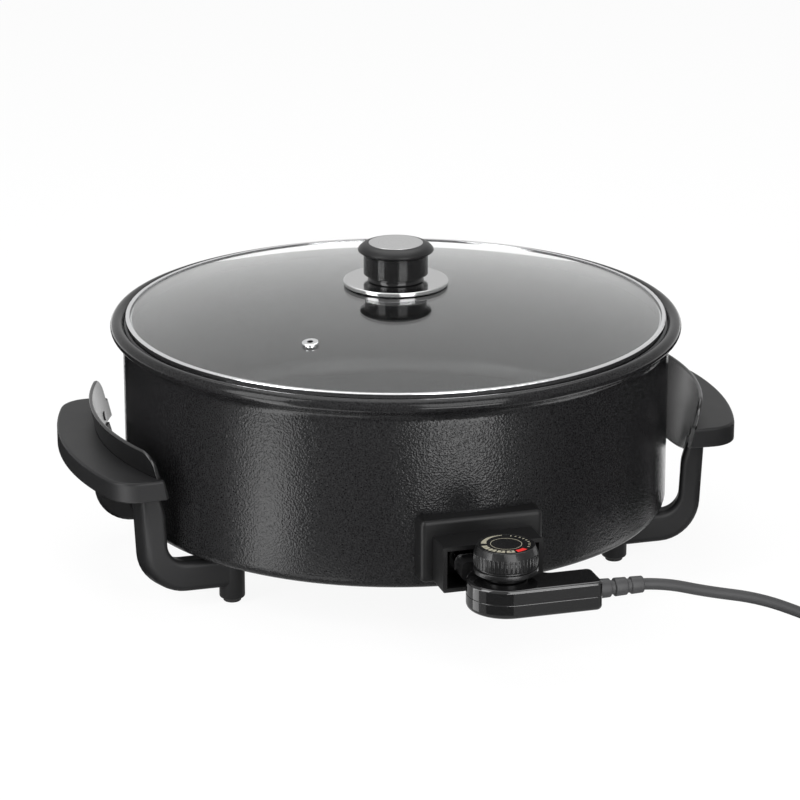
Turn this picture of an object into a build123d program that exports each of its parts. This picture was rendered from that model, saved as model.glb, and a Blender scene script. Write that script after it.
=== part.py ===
from build123d import *
import math
import os

# Electric paella pan with a lift-off glass lid and a plug-in thermostat control.
# Millimetres, +Z up, front of the pan towards -Y, floor at z = 0.
# Places are given from the pan's own upright axis; pan_y sets that axis in the frame.

os.makedirs("parts", exist_ok=True)

# Driving dimensions: outer casing and its rolled rim
casing_radius = 201.0
rim_overhang = 9.0
casing_sheet = 2.0
casing_bottom = 40.0
casing_height = 141.0
casing_corner = 8.0
bead_radius = 5.0
flare_radius = 8.0

# Cooking pan that hangs in the casing
ledge_drop = 3.5
pan_sheet = 3.0
pan_gap = 1.0
pan_corner = 15.0
ledge_round = 2.0
flange_gap = 0.3

# Heating element, its clips, reflector and centre stud
terminal_z = 69.0
element_radius = 120.0
element_diameter = 8.0
element_bend = 18.0
terminal_spread = 14.0
element_end_inset = 13.0
clip_sheet = 1.2
clip_width = 10.0
clip_foot = 7.0
clip_count = 4
reflector_inset = 17.0
reflector_z = 52.0
reflector_sheet = 0.8
reflector_lip = 4.0
stud_radius = 4.0
stud_below = 8.0
nut_height = 6.0
nut_across = 13.0
spacer_radius = 7.0

# Terminals, probe guide and connector shroud
pin_radius = 2.5
pin_set_back = 6.0
bush_radius = 6.0
bush_flange_radius = 8.0
bush_flange = 4.0
bush_set_back = 2.5
guide_radius = 4.0
guide_wall = 0.8
guide_inner_reach = 142.0
shroud_thickness = 11.0
shroud_half_width = 44.0
shroud_low = 50.5
shroud_high = 96.5
shroud_round = 4.0
socket_length = 24.0
socket_half_width = 36.0
socket_low = 52.0
socket_high = 85.0
socket_wall = 3.0
socket_floor = 3.0
shroud_screw_x = 40.0
shroud_screw_radius = 2.0
shroud_screw_length = 12.0

# Handles: legs, feet, grips and heat guards
leg_offset = 5.0
leg_y = 78.0
leg_thickness = 13.5
leg_depth = 17.0
leg_lean = 2.8
bar_low = 12.5
bar_high = 35.5
elbow_outer = 30.0
elbow_inner = 14.0
bar_reach = 60.0
boss_radius = 9.3
boss_low = 3.0
foot_radius = 6.5
foot_plug = 6.0
foot_round = 1.2
leg_screw_radius = 2.5
leg_screw_head = 4.5
leg_screw_seat = 24.0
leg_nut_radius = 4.5
leg_nut_height = 3.5
grip_low = 88.5
grip_height = 15.0
grip_depth = 36.0
grip_half_length = 100.0
grip_end_round = 22.0
grip_edge_round = 2.0
grip_recess_wall = 6.0
grip_recess_depth = 9.0
grip_recess_half = 58.0
ear_height = 10.5
guard_sheet = 3.0
guard_gap = 14.0
guard_base_z = 78.0
guard_lean = 12.0
guard_top = 121.5
guard_half_length = 91.0
guard_shoulder = 5.0
guard_corner = 14.0
apron_half_length = 66.0
apron_side_z = 77.0
apron_middle_z = 65.0
guard_screw_rise = 7.0
guard_screw_radius = 1.9
guard_screw_length = 12.0
guard_screw_head = 3.6
guard_screw_gap = 0.1

# Lid: glass, edge ring, knob and vent
ring_gap = 1.3
ring_sheet = 0.8
ring_lip = 3.0
ring_skirt_gap = 0.7
ring_skirt_depth = 7.0
glass_thickness = 4.0
glass_flat = 2.4
glass_hole_radius = 3.5
crown_z = 204.5
gasket_radius = 12.0
gasket_height = 1.0
plate_radius = 38.5
plate_height = 1.8
plate_rim = 1.8
knob_neck_radius = 20.7
knob_waist = 0.8
knob_neck_height = 4.7
knob_band_radius = 23.7
knob_band_height = 14.5
knob_groove = 0.8
knob_flange_radius = 27.8
knob_under_rise = 1.9
knob_edge_height = 1.2
knob_edge_round = 0.5
knob_cap_bulge = 0.7
knob_cap_radius = 20.6
knob_height = 27.7
insert_radius = 19.9
insert_height = 1.4
insert_proud = 0.2
knob_screw_radius = 2.5
knob_screw_head = 5.0
knob_screw_head_height = 3.0
knob_screw_rise = 16.0
washer_radius = 10.0
washer_height = 1.5
vent_x = -91.0
vent_y = -96.0
vent_hole_radius = 2.2
vent_tube_radius = 3.6
vent_flange_radius = 6.0
vent_back_radius = 5.2
vent_flange = 1.2
vent_flange_round = 0.8

# Thermostat control
dial_set_back = 24.0
dial_x = -1.5
housing_round = 27.0
housing_low = 51.0
housing_height = 21.0
housing_wall = 2.0
control_gap = 8.0
neck_half_width = 19.0
neck_round = 3.0
tail_end = 59.5
tail_width = 28.0
tail_round = 4.0
shoulder_round = 6.0
housing_low_round = 3.5
housing_top_round = 2.0
nose_half_width = 25.0
nose_half_height = 7.0
nose_round = 4.5
nose_set_back = 2.0
tenon_half_width = 16.0
tenon_length = 9.0
tenon_low = 63.0
tenon_high = 69.0
sleeve_radius = 4.0
sleeve_length = 23.0
sleeve_room = 0.4
sleeve_set_back = 1.0
probe_radius = 2.7
probe_hold = 4.0
probe_end_gap = 6.0
strap_sheet = 0.8
strap_set_back = 4.0
strap_width = 12.0
strap_gap = 0.1
strap_low = 66.0
thermostat_half_x = 15.0
thermostat_half_y = 13.0
thermostat_height = 13.0
thermostat_bush = 5.0
thermostat_bush_top = 71.6
shaft_radius = 3.0
shaft_low = 56.0
dial_gap = 0.4
dial_base_radius = 22.0
dial_top_radius = 20.0
dial_height = 23.6
dial_base_height = 2.6
dial_groove = 0.9
dial_rib_low = 4.2
dial_rib_height = 6.6
dial_rib_count = 40
dial_rib_width = 1.6
dial_rib_rise = 0.5
dial_edge_round = 1.2
dial_wall = 2.5
dial_crown = 5.6
dial_hub_radius = 6.0
shaft_into_dial = 17.6
face_radius = 18.0
face_height = 0.6
control_screw_radius = 1.5
control_screw_head = 2.8
control_screw_length = 16.0
control_screw_sink = 4.0
control_boss_radius = 3.5
control_boss_inset = 7.5
tail_boss_x = 46.0
relief_length = 33.0
relief_radius = 6.8
relief_tip_radius = 5.8
relief_neck = 5.0
relief_rib_count = 3
relief_groove = 2.4
relief_flange_radius = 7.0
relief_flange = 2.5

# Mains cord, coil of spare length, tie and plug
cord_diameter = 8.0
coil_x = 288.0
coil_y = -244.0
coil_radius = 48.0
coil_pitch = 8.8
coil_half_turns = 3
tie_sheet = 1.2
tie_width = 9.0
tie_room = 0.6
tie_round = 5.0
plug_rise_run = 30.0
plug_boot_length = 12.0
plug_boot_radius = 6.5
plug_radius = 18.5
plug_length = 36.0
plug_edge_round = 3.0
plug_neck_radius = 11.0
plug_pin_radius = 2.4
plug_pin_length = 19.0
plug_pin_spacing = 19.0

# Clearances: holes round screws and shafts, and pieces that slide past each other
hole_fit = 0.2
running_fit = 0.05
slide_fit = 0.3

# Sizes that follow from those above
rim_radius = casing_radius + rim_overhang
shroud_face = casing_radius + shroud_thickness
socket_reach = shroud_face + socket_length
socket_back = shroud_face - socket_floor
bush_front = shroud_face - bush_set_back
pin_reach = socket_reach - pin_set_back
housing_back = socket_reach + control_gap
dial_reach = housing_back + dial_set_back
control_front = dial_reach + housing_round
tail_back = control_front - tail_width
relief_y = control_front - tail_width / 2
nose_tip = shroud_face + nose_set_back
strap_start = nose_tip + strap_set_back
probe_root = housing_back - probe_hold
probe_tip = guide_inner_reach + probe_end_gap
guard_base_radius = casing_radius + guard_gap
grip_outer = guard_base_radius + grip_depth
grip_high = grip_low + grip_height
guard_screw_z = grip_low + guard_screw_rise
pan_y = (control_front - rim_radius) / 2
rim_top = casing_bottom + casing_height
bead_center_r = rim_radius - bead_radius
bead_z = rim_top - bead_radius
bead_inner_r = bead_center_r - bead_radius
casing_inner = casing_radius - casing_sheet
element_end_reach = casing_inner - element_end_inset
reflector_radius = casing_inner - reflector_inset
leg_x = casing_radius + leg_offset
boss_x = leg_x - bar_reach
ledge_z = rim_top - ledge_drop
shoulder_z = ledge_z - pan_sheet
pan_outer = casing_inner - pan_gap
pan_inner = pan_outer - pan_sheet
ring_radius = bead_inner_r - ring_gap
ring_skirt_radius = pan_inner - ring_skirt_gap
flange_radius = bead_inner_r - flange_gap
pan_underside = terminal_z + element_diameter / 2
pan_floor = pan_underside + pan_sheet
housing_high = housing_low + housing_height
split_z = housing_low + housing_height / 2
ring_top = ledge_z + 2 * ring_sheet + glass_thickness
relief_end = tail_end + relief_length
plug_axis_z = plug_radius + slide_fit


def at(x, y, z):
    """A point given from the pan's axis, in the part's frame."""
    return (x, pan_y + y, z)


def level(z, x=0, y=0):
    """Level plane at height z, its origin at x, y from the pan's axis."""
    return Plane(origin=at(x, y, z))


def upright(x=0, y=0, z=0):
    """Upright plane that faces the front: local x is +X, local y is +Z."""
    return Plane(origin=at(x, y, z), x_dir=(1, 0, 0), z_dir=(0, -1, 0))


def crosswise(x=0, y=0, z=0):
    """Upright plane that faces +X: local x is +Y, local y is +Z."""
    return Plane(origin=at(x, y, z), x_dir=(0, 1, 0), z_dir=(1, 0, 0))


def radial(angle, z=0):
    """Upright plane through the pan's axis: local x points out at an angle from +X, local y is +Z."""
    a = math.radians(angle)
    return Plane(
        origin=at(0, 0, z),
        x_dir=(math.cos(a), math.sin(a), 0),
        z_dir=(math.sin(a), -math.cos(a), 0),
    )


def outward(angle, reach, z):
    """Upright plane that faces away from the pan's axis, at an angle from +X and a reach from the axis."""
    a = math.radians(angle)
    return Plane(
        origin=at(reach * math.cos(a), reach * math.sin(a), z),
        x_dir=(-math.sin(a), math.cos(a), 0),
        z_dir=(math.cos(a), math.sin(a), 0),
    )


def save(piece, name):
    """Label a finished piece and write its STEP file."""
    piece.part.label = name
    export_step(piece.part, f"parts/{name}.step")


pan_axis = Axis(at(0, 0, 0), (0, 0, 1))
dial_axis = Axis(at(dial_x, -dial_reach, 0), (0, 0, 1))
corners = [(sx * boss_x, sy * leg_y) for sx in (-1, 1) for sy in (-1, 1)]
terminals = [(-terminal_spread, terminal_z), (terminal_spread, terminal_z)]
shroud_screw_turn = math.degrees(math.asin(shroud_screw_x / casing_radius))
shroud_screw_angles = (-90 - shroud_screw_turn, -90 + shroud_screw_turn)


# Outer casing: a drawn drum, its rim flared and rolled outwards into a bead
flare_center_r = casing_radius + flare_radius
flare_rise = math.sqrt((bead_radius + flare_radius) ** 2 - (flare_center_r - bead_center_r) ** 2)
bead_share = bead_radius / (bead_radius + flare_radius)
flare_end = (
    bead_center_r + bead_share * (flare_center_r - bead_center_r),
    bead_z - bead_share * flare_rise,
)
with BuildPart() as casing:
    with BuildSketch(upright()):
        with BuildLine():
            base = Line(
                (stud_radius + hole_fit, casing_bottom),
                (casing_radius - casing_corner, casing_bottom),
            )
            edge = TangentArc(base @ 1, (casing_radius, casing_bottom + casing_corner), tangent=base % 1)
            wall = Line(edge @ 1, (casing_radius, bead_z - flare_rise))
            flare = TangentArc(wall @ 1, flare_end, tangent=wall % 1)
            outer_roll = TangentArc(flare @ 1, (bead_center_r, rim_top), tangent=flare % 1)
            inner_roll = TangentArc(outer_roll @ 1, (bead_inner_r, bead_z), tangent=outer_roll % 1)
            step = Polyline(
                inner_roll @ 1,
                (bead_inner_r, shoulder_z),
                (casing_inner, shoulder_z),
                (casing_inner, casing_bottom + casing_corner),
            )
            inner_edge = TangentArc(
                step @ 1,
                (casing_radius - casing_corner, casing_bottom + casing_sheet),
                tangent=(0, -1),
            )
            Polyline(
                inner_edge @ 1,
                (stud_radius + hole_fit, casing_bottom + casing_sheet),
                base @ 0,
            )
        make_face()
    revolve(axis=pan_axis)
    with BuildSketch(level(casing_bottom)):
        with Locations(*corners):
            Circle(leg_screw_radius + hole_fit)
    extrude(amount=casing_sheet, mode=Mode.SUBTRACT)
    with BuildSketch(upright(y=-casing_inner * 0.9)):
        with Locations(*terminals):
            Circle(bush_radius + hole_fit)
        with Locations((0, terminal_z)):
            Circle(guide_radius + hole_fit)
    extrude(amount=casing_radius * 0.2, mode=Mode.SUBTRACT)
    for angle in shroud_screw_angles:
        with BuildSketch(outward(angle, casing_inner - casing_sheet, terminal_z)):
            Circle(shroud_screw_radius + hole_fit)
        extrude(amount=3 * casing_sheet, mode=Mode.SUBTRACT)
save(casing, "outer_casing")

# Cooking pan: drawn aluminium, hung by its flange on the shoulder inside the bead
with BuildPart() as cooking_pan:
    with BuildSketch(upright()):
        with BuildLine():
            under = Line((0, pan_underside), (pan_outer - pan_corner, pan_underside))
            bend = TangentArc(under @ 1, (pan_outer, pan_underside + pan_corner), tangent=under % 1)
            rise = Polyline(
                bend @ 1,
                (pan_outer, shoulder_z),
                (flange_radius, shoulder_z),
                (flange_radius, ledge_z),
                (pan_inner + ledge_round, ledge_z),
            )
            lip = TangentArc(rise @ 1, (pan_inner, ledge_z - ledge_round), tangent=(-1, 0))
            inside = Line(lip @ 1, (pan_inner, pan_underside + pan_corner))
            sweep_in = TangentArc(inside @ 1, (pan_outer - pan_corner, pan_floor), tangent=(0, -1))
            Polyline(sweep_in @ 1, (0, pan_floor), under @ 0)
        make_face()
    revolve(axis=pan_axis)
save(cooking_pan, "cooking_pan")

# Heating element: one tube bent to an open ring, its ends running forward to the terminals
bend_x = terminal_spread + element_bend
bend_y = -math.sqrt((element_radius + element_bend) ** 2 - bend_x**2)
ring_share = element_radius / (element_radius + element_bend)
ring_x = ring_share * bend_x
ring_y = ring_share * bend_y
with BuildPart() as element:
    with BuildLine() as element_path:
        lead = Line(
            at(terminal_spread, -element_end_reach, terminal_z),
            at(terminal_spread, bend_y, terminal_z),
        )
        turn_out = TangentArc(lead @ 1, at(ring_x, ring_y, terminal_z), tangent=lead % 1)
        loop = ThreePointArc(
            turn_out @ 1,
            at(0, element_radius, terminal_z),
            at(-ring_x, ring_y, terminal_z),
        )
        turn_in = TangentArc(loop @ 1, at(-terminal_spread, bend_y, terminal_z), tangent=loop % 1)
        Line(turn_in @ 1, at(-terminal_spread, -element_end_reach, terminal_z))
    with BuildSketch(upright(terminal_spread, -element_end_reach, terminal_z)):
        Circle(element_diameter / 2)
    sweep(path=element_path.wires()[0])
save(element, "heating_element")

# Clips: sheet saddles, welded to the pan's underside, that hold the element up against it
clip_room = element_diameter / 2 + slide_fit
clip_outer = clip_room + clip_sheet
with BuildPart() as clips:
    for index in range(clip_count):
        angle = 45 + index * 360 / clip_count
        with BuildSketch(radial(angle, terminal_z)):
            with Locations((element_radius, 0)):
                Circle(clip_outer)
            with Locations((element_radius, element_diameter / 4)):
                Rectangle(2 * clip_outer, element_diameter / 2)
            with Locations((element_radius, (element_diameter - clip_sheet) / 2)):
                Rectangle(2 * (clip_outer + clip_foot), clip_sheet)
            with Locations((element_radius, 0)):
                Circle(clip_room, mode=Mode.SUBTRACT)
            with Locations((element_radius, element_diameter / 4)):
                Rectangle(2 * clip_room, element_diameter / 2, mode=Mode.SUBTRACT)
            with Locations((element_radius, element_diameter)):
                Rectangle(4 * clip_outer, element_diameter, mode=Mode.SUBTRACT)
        extrude(amount=clip_width / 2, both=True)
save(clips, "element_clips")

# Heat reflector: shallow dish of bright sheet between the element and the casing floor
with BuildPart() as reflector:
    with BuildSketch(upright()):
        with BuildLine():
            Polyline(
                (stud_radius + hole_fit, reflector_z),
                (reflector_radius - reflector_lip, reflector_z),
                (reflector_radius, reflector_z + reflector_lip),
                (reflector_radius, reflector_z + reflector_lip + reflector_sheet),
                (reflector_radius - reflector_lip, reflector_z + reflector_sheet),
                (stud_radius + hole_fit, reflector_z + reflector_sheet),
                close=True,
            )
        make_face()
    revolve(axis=pan_axis)
save(reflector, "heat_reflector")

# Centre stud welded under the cooking pan, two spacer tubes, and the nut under the casing
with BuildPart() as stud:
    with BuildSketch(level(pan_underside)):
        Circle(stud_radius)
    extrude(amount=-(pan_underside - casing_bottom + stud_below))
    chamfer(stud.edges().sort_by(Axis.Z)[0], 1)
save(stud, "center_stud")

with BuildPart() as spacers:
    for low, high in (
        (casing_bottom + casing_sheet, reflector_z),
        (reflector_z + reflector_sheet, pan_underside),
    ):
        with BuildSketch(level(low)):
            Circle(spacer_radius)
            Circle(stud_radius + hole_fit, mode=Mode.SUBTRACT)
        extrude(amount=high - low)
save(spacers, "stud_spacers")

with BuildPart() as nut:
    with BuildSketch(level(casing_bottom)):
        RegularPolygon(nut_across / 2, 6, major_radius=False)
        Circle(stud_radius + hole_fit, mode=Mode.SUBTRACT)
    extrude(amount=-nut_height)
save(nut, "center_nut")

# Ceramic bushes that carry the terminals through the casing wall, flanged on the inside
bush_seat = math.sqrt(casing_inner**2 - (terminal_spread + bush_flange_radius) ** 2) - hole_fit
with BuildPart() as bushes:
    with BuildSketch(upright(y=-(bush_seat - bush_flange))):
        with Locations(*terminals):
            Circle(bush_flange_radius)
    extrude(amount=bush_flange)
    with BuildSketch(upright(y=-bush_seat)):
        with Locations(*terminals):
            Circle(bush_radius)
    extrude(amount=bush_front - bush_seat)
    with BuildSketch(upright(y=-(bush_seat - bush_flange))):
        with Locations(*terminals):
            Circle(pin_radius + hole_fit)
    extrude(amount=bush_front - bush_seat + bush_flange, mode=Mode.SUBTRACT)
save(bushes, "terminal_bushes")

# Terminal pins: from the element's ends, through the bushes, into the socket
with BuildPart() as pins:
    with BuildSketch(upright(y=-element_end_reach)):
        with Locations(*terminals):
            Circle(pin_radius)
    extrude(amount=pin_reach - element_end_reach)
    fillet(pins.faces().filter_by(Axis.Y).group_by(Axis.Y)[0].edges(), pin_radius * 0.6)
save(pins, "terminal_pins")

# Guide tube: takes the control's probe and lies along the cooking pan's underside
with BuildPart() as guide:
    with BuildSketch(upright(y=-guide_inner_reach, z=terminal_z)):
        Circle(guide_radius)
    extrude(amount=socket_back - guide_inner_reach)
    with BuildSketch(upright(y=-(guide_inner_reach + guide_wall), z=terminal_z)):
        Circle(guide_radius - guide_wall)
    extrude(amount=socket_back - guide_inner_reach, mode=Mode.SUBTRACT)
save(guide, "probe_guide")

# Connector shroud: rounded flange shaped to the casing wall, and an open box for the control's nose
shroud_mid = (shroud_low + shroud_high) / 2
socket_mid = (socket_low + socket_high) / 2
with BuildPart() as shroud:
    with BuildSketch(upright(y=-casing_radius * 0.9, z=shroud_mid)):
        RectangleRounded(2 * shroud_half_width, shroud_high - shroud_low, shroud_round)
    extrude(amount=shroud_face - casing_radius * 0.9)
    fillet(shroud.faces().sort_by(Axis.Y)[0].edges(), shroud_round * 0.9)
    with BuildSketch(upright(y=-(shroud_face - shroud_round), z=socket_mid)):
        RectangleRounded(2 * socket_half_width, socket_high - socket_low, socket_wall / 2)
    extrude(amount=socket_reach - shroud_face + shroud_round)
    with BuildSketch(upright(y=-socket_back, z=socket_mid)):
        Rectangle(2 * (socket_half_width - socket_wall), socket_high - socket_low - 2 * socket_wall)
    extrude(amount=socket_reach - socket_back, mode=Mode.SUBTRACT)
    with BuildSketch(level(shroud_low - shroud_round)):
        Circle(casing_radius + hole_fit / 2)
    extrude(amount=shroud_high - shroud_low + 2 * shroud_round, mode=Mode.SUBTRACT)
    with BuildSketch(upright(y=-casing_radius * 0.9)):
        with Locations(*terminals):
            Circle(bush_radius + hole_fit)
        with Locations((0, terminal_z)):
            Circle(guide_radius + hole_fit)
    extrude(amount=socket_back - casing_radius * 0.9, mode=Mode.SUBTRACT)
    for angle in shroud_screw_angles:
        with BuildSketch(outward(angle, casing_inner, terminal_z)):
            Circle(shroud_screw_radius + hole_fit)
        extrude(amount=shroud_screw_length, mode=Mode.SUBTRACT)
save(shroud, "connector_shroud")

# Shroud screws: heads inside the casing, shanks out through its wall into the flange
with BuildPart() as shroud_screws:
    for angle in shroud_screw_angles:
        seat = outward(angle, casing_inner - hole_fit, terminal_z)
        with BuildSketch(seat):
            Circle(shroud_screw_radius)
        extrude(amount=shroud_screw_length)
        with BuildSketch(seat):
            Circle(shroud_screw_radius * 1.8)
        extrude(amount=-shroud_screw_radius)
save(shroud_screws, "shroud_screws")

# Handles. Each piece is drawn for the right side and mirrored across the pan for the left.
sides = {"left": -1, "right": 1}
ends = {"front": -1, "rear": 1}
lean = math.tan(math.radians(leg_lean))
guard_slope = math.tan(math.radians(guard_lean))
leg_turn = math.asin(leg_y / math.hypot(leg_x, leg_y))
leg_skew = -math.tan(leg_turn)
handle_sweep = 90


def guard_radius(z):
    """Inside radius of the leaning heat guard at height z."""
    return guard_base_radius + (z - guard_base_z) * guard_slope


def leg_edge(z, out):
    """x of the leg's inner (out = -1) or outer (out = 1) face at height z."""
    return leg_x + out * leg_thickness / 2 + (z - bar_high) * lean


def guard_screw_plane(end):
    """Plane on the guard's inner face at a leg, facing out through the guard, the ear and the grip."""
    reach = guard_radius(guard_screw_z)
    turn = end * math.asin(leg_y / reach)
    tilt = math.radians(guard_lean)
    out = (math.cos(tilt) * math.cos(turn), math.cos(tilt) * math.sin(turn), -math.sin(tilt))
    return Plane(
        origin=at(reach * math.cos(turn), reach * math.sin(turn), guard_screw_z),
        x_dir=(-math.sin(turn), math.cos(turn), 0),
        z_dir=out,
    )


ear_top = grip_low + ear_height
ear_reach = guard_radius(ear_top) + guard_sheet + slide_fit
ear_x = math.sqrt(ear_reach**2 - leg_y**2)


def leg(side, end):
    """L-shaped leg: bar under the casing with its boss, elbow, upright and a thin ear into the grip."""
    with BuildPart() as piece:
        with BuildSketch(upright(y=end * leg_y), mode=Mode.PRIVATE) as outline:
            with BuildLine():
                Polyline(
                    (boss_x, bar_low),
                    (leg_edge(bar_low, 1), bar_low),
                    (leg_edge(ear_top, 1), ear_top),
                    (ear_x, ear_top),
                    (ear_x, grip_low),
                    (leg_edge(grip_low, -1), grip_low),
                    (leg_edge(bar_high, -1), bar_high),
                    (boss_x, bar_high),
                    close=True,
                )
            make_face()
            by_height = vertices().group_by(Axis.Y)
            fillet(by_height[0].sort_by(Axis.X)[-1], elbow_outer)
            fillet(by_height[1].sort_by(Axis.X)[-1], elbow_inner)
        half_run = leg_depth / 2 / math.cos(leg_turn)
        extrude(outline.sketch, amount=half_run, dir=(leg_skew, end, 0))
        extrude(outline.sketch, amount=half_run, dir=(-leg_skew, -end, 0))
        with BuildSketch(level(boss_low, boss_x, end * leg_y)):
            Circle(boss_radius)
        extrude(amount=casing_bottom - boss_low)
        with BuildSketch(level(boss_low, boss_x, end * leg_y)):
            Circle(leg_screw_head + hole_fit)
        extrude(amount=leg_screw_seat - boss_low, mode=Mode.SUBTRACT)
        with BuildSketch(level(boss_low, boss_x, end * leg_y)):
            Circle(leg_screw_radius + hole_fit)
        extrude(amount=casing_bottom - boss_low, mode=Mode.SUBTRACT)
        with BuildSketch(guard_screw_plane(end)):
            Circle(guard_screw_radius + hole_fit)
        extrude(amount=guard_screw_length, mode=Mode.SUBTRACT)
        if side < 0:
            mirror(about=Plane.YZ, mode=Mode.REPLACE)
    return piece


for side_name, side in sides.items():
    for end_name, end in ends.items():
        save(leg(side, end), f"handle_leg_{end_name}_{side_name}")

# Feet: soft caps on the bosses, their plugs up in the screw holes
for side_name, side in sides.items():
    for end_name, end in ends.items():
        with BuildPart() as foot:
            with BuildSketch(level(0, side * boss_x, end * leg_y)):
                Circle(foot_radius)
            extrude(amount=boss_low)
            fillet(foot.faces().sort_by(Axis.Z)[0].edges(), foot_round)
            with BuildSketch(level(boss_low, side * boss_x, end * leg_y)):
                Circle(leg_screw_head)
            extrude(amount=foot_plug)
        save(foot, f"foot_{end_name}_{side_name}")

# Leg screws: up through the bosses and the casing floor, each with its nut inside
floor_top = casing_bottom + casing_sheet
with BuildPart() as leg_screws:
    for x, y in corners:
        with BuildSketch(level(leg_screw_seat, x, y)):
            Circle(leg_screw_head)
        extrude(amount=-leg_screw_radius)
        with BuildSketch(level(leg_screw_seat, x, y)):
            Circle(leg_screw_radius)
        extrude(amount=floor_top + leg_nut_height - leg_screw_seat)
        with BuildSketch(level(floor_top, x, y)):
            RegularPolygon(leg_nut_radius, 6, major_radius=False)
        extrude(amount=leg_nut_height)
save(leg_screws, "leg_screws")

# Grips: crescent caps concentric with the pan, hollow beneath, seated on the legs and against the guards
grip_seat = guard_sheet + hole_fit


def grip(side):
    """Crescent grip for one side, with slots for the legs' ears and a finger hollow beneath."""
    with BuildPart() as piece:
        with BuildSketch(radial(-handle_sweep / 2)):
            with BuildLine():
                Polyline(
                    (guard_radius(grip_low) + grip_seat, grip_low),
                    (grip_outer, grip_low),
                    (grip_outer, grip_high),
                    (guard_radius(grip_high) + grip_seat, grip_high),
                    close=True,
                )
            make_face()
        revolve(axis=pan_axis, revolution_arc=handle_sweep)
        with BuildSketch(level(grip_low)):
            with Locations((grip_outer, 0)):
                Rectangle(2 * grip_outer, 2 * grip_half_length)
        extrude(amount=grip_high - grip_low, mode=Mode.INTERSECT)
        fillet(piece.edges().filter_by(Axis.Z).group_by(Axis.X)[-1], grip_end_round)
        fillet(piece.faces().sort_by(Axis.Z)[-1].edges().sort_by(Axis.X)[-1], grip_edge_round)
        with BuildSketch(level(grip_low)):
            Circle(grip_outer - grip_recess_wall)
            Circle(guard_radius(grip_low) + grip_seat + grip_recess_wall, mode=Mode.SUBTRACT)
            with Locations((grip_outer, 0)):
                Rectangle(2 * grip_outer, 2 * grip_recess_half, mode=Mode.INTERSECT)
        extrude(amount=grip_recess_depth, mode=Mode.SUBTRACT)
        slot_half = leg_depth / 2 + hole_fit
        slot_x = leg_edge(ear_top, 1) + hole_fit
        for end in ends.values():
            with BuildSketch(level(grip_low)):
                with BuildLine():
                    Polyline(
                        (boss_x, end * (leg_y - slot_half)),
                        (slot_x - slot_half * leg_skew, end * (leg_y - slot_half)),
                        (slot_x + slot_half * leg_skew, end * (leg_y + slot_half)),
                        (boss_x, end * (leg_y + slot_half)),
                        close=True,
                    )
                make_face()
            extrude(amount=ear_height + hole_fit, mode=Mode.SUBTRACT)
            with BuildSketch(guard_screw_plane(end)):
                Circle(guard_screw_radius + hole_fit)
            extrude(amount=guard_screw_length + hole_fit, mode=Mode.SUBTRACT)
        if side < 0:
            mirror(about=Plane.YZ, mode=Mode.REPLACE)
    return piece


for side_name, side in sides.items():
    save(grip(side), f"handle_grip_{side_name}")


# Heat guards: thin leaning shields between pan and hand, with an apron that hangs between the legs
def guard(side):
    """Curved guard for one side: a piece of a leaning cone, trimmed to its outline as seen from the side."""
    strip_low = apron_middle_z - guard_sheet
    strip_high = guard_top + guard_sheet
    with BuildPart() as piece:
        with BuildSketch(radial(-handle_sweep / 2)):
            with BuildLine():
                Polyline(
                    (guard_radius(strip_low), strip_low),
                    (guard_radius(strip_low) + guard_sheet, strip_low),
                    (guard_radius(strip_high) + guard_sheet, strip_high),
                    (guard_radius(strip_high), strip_high),
                    close=True,
                )
            make_face()
        revolve(axis=pan_axis, revolution_arc=handle_sweep)
        wing_z = grip_low + hole_fit
        shoulder_half = guard_half_length + guard_shoulder
        with BuildSketch(crosswise(boss_x)):
            with BuildLine():
                Polyline(
                    (-apron_half_length, apron_side_z),
                    (-apron_half_length, wing_z),
                    (-shoulder_half, wing_z),
                    (-shoulder_half, grip_high),
                    (-guard_half_length, grip_high),
                    (-guard_half_length, guard_top),
                    (guard_half_length, guard_top),
                    (guard_half_length, grip_high),
                    (shoulder_half, grip_high),
                    (shoulder_half, wing_z),
                    (apron_half_length, wing_z),
                    (apron_half_length, apron_side_z),
                )
                ThreePointArc(
                    (apron_half_length, apron_side_z),
                    (0, apron_middle_z),
                    (-apron_half_length, apron_side_z),
                )
            make_face()
            fillet(vertices().group_by(Axis.Y)[-1], guard_corner)
        extrude(amount=grip_outer - boss_x, mode=Mode.INTERSECT)
        for end in ends.values():
            with BuildSketch(guard_screw_plane(end).offset(-guard_sheet)):
                Circle(guard_screw_radius + hole_fit)
            extrude(amount=3 * guard_sheet, mode=Mode.SUBTRACT)
        if side < 0:
            mirror(about=Plane.YZ, mode=Mode.REPLACE)
    return piece


for side_name, side in sides.items():
    save(guard(side), f"heat_guard_{side_name}")

# Guard screws: heads inside the guards, shanks out through the ears into the grips
with BuildPart() as guard_screws:
    for end in ends.values():
        with BuildSketch(guard_screw_plane(end).offset(-guard_screw_gap)):
            Circle(guard_screw_radius)
        extrude(amount=guard_screw_length)
        with BuildSketch(guard_screw_plane(end).offset(-guard_screw_gap)):
            Circle(guard_screw_head)
        extrude(amount=-guard_screw_radius)
    mirror(about=Plane.YZ)
save(guard_screws, "guard_screws")

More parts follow.
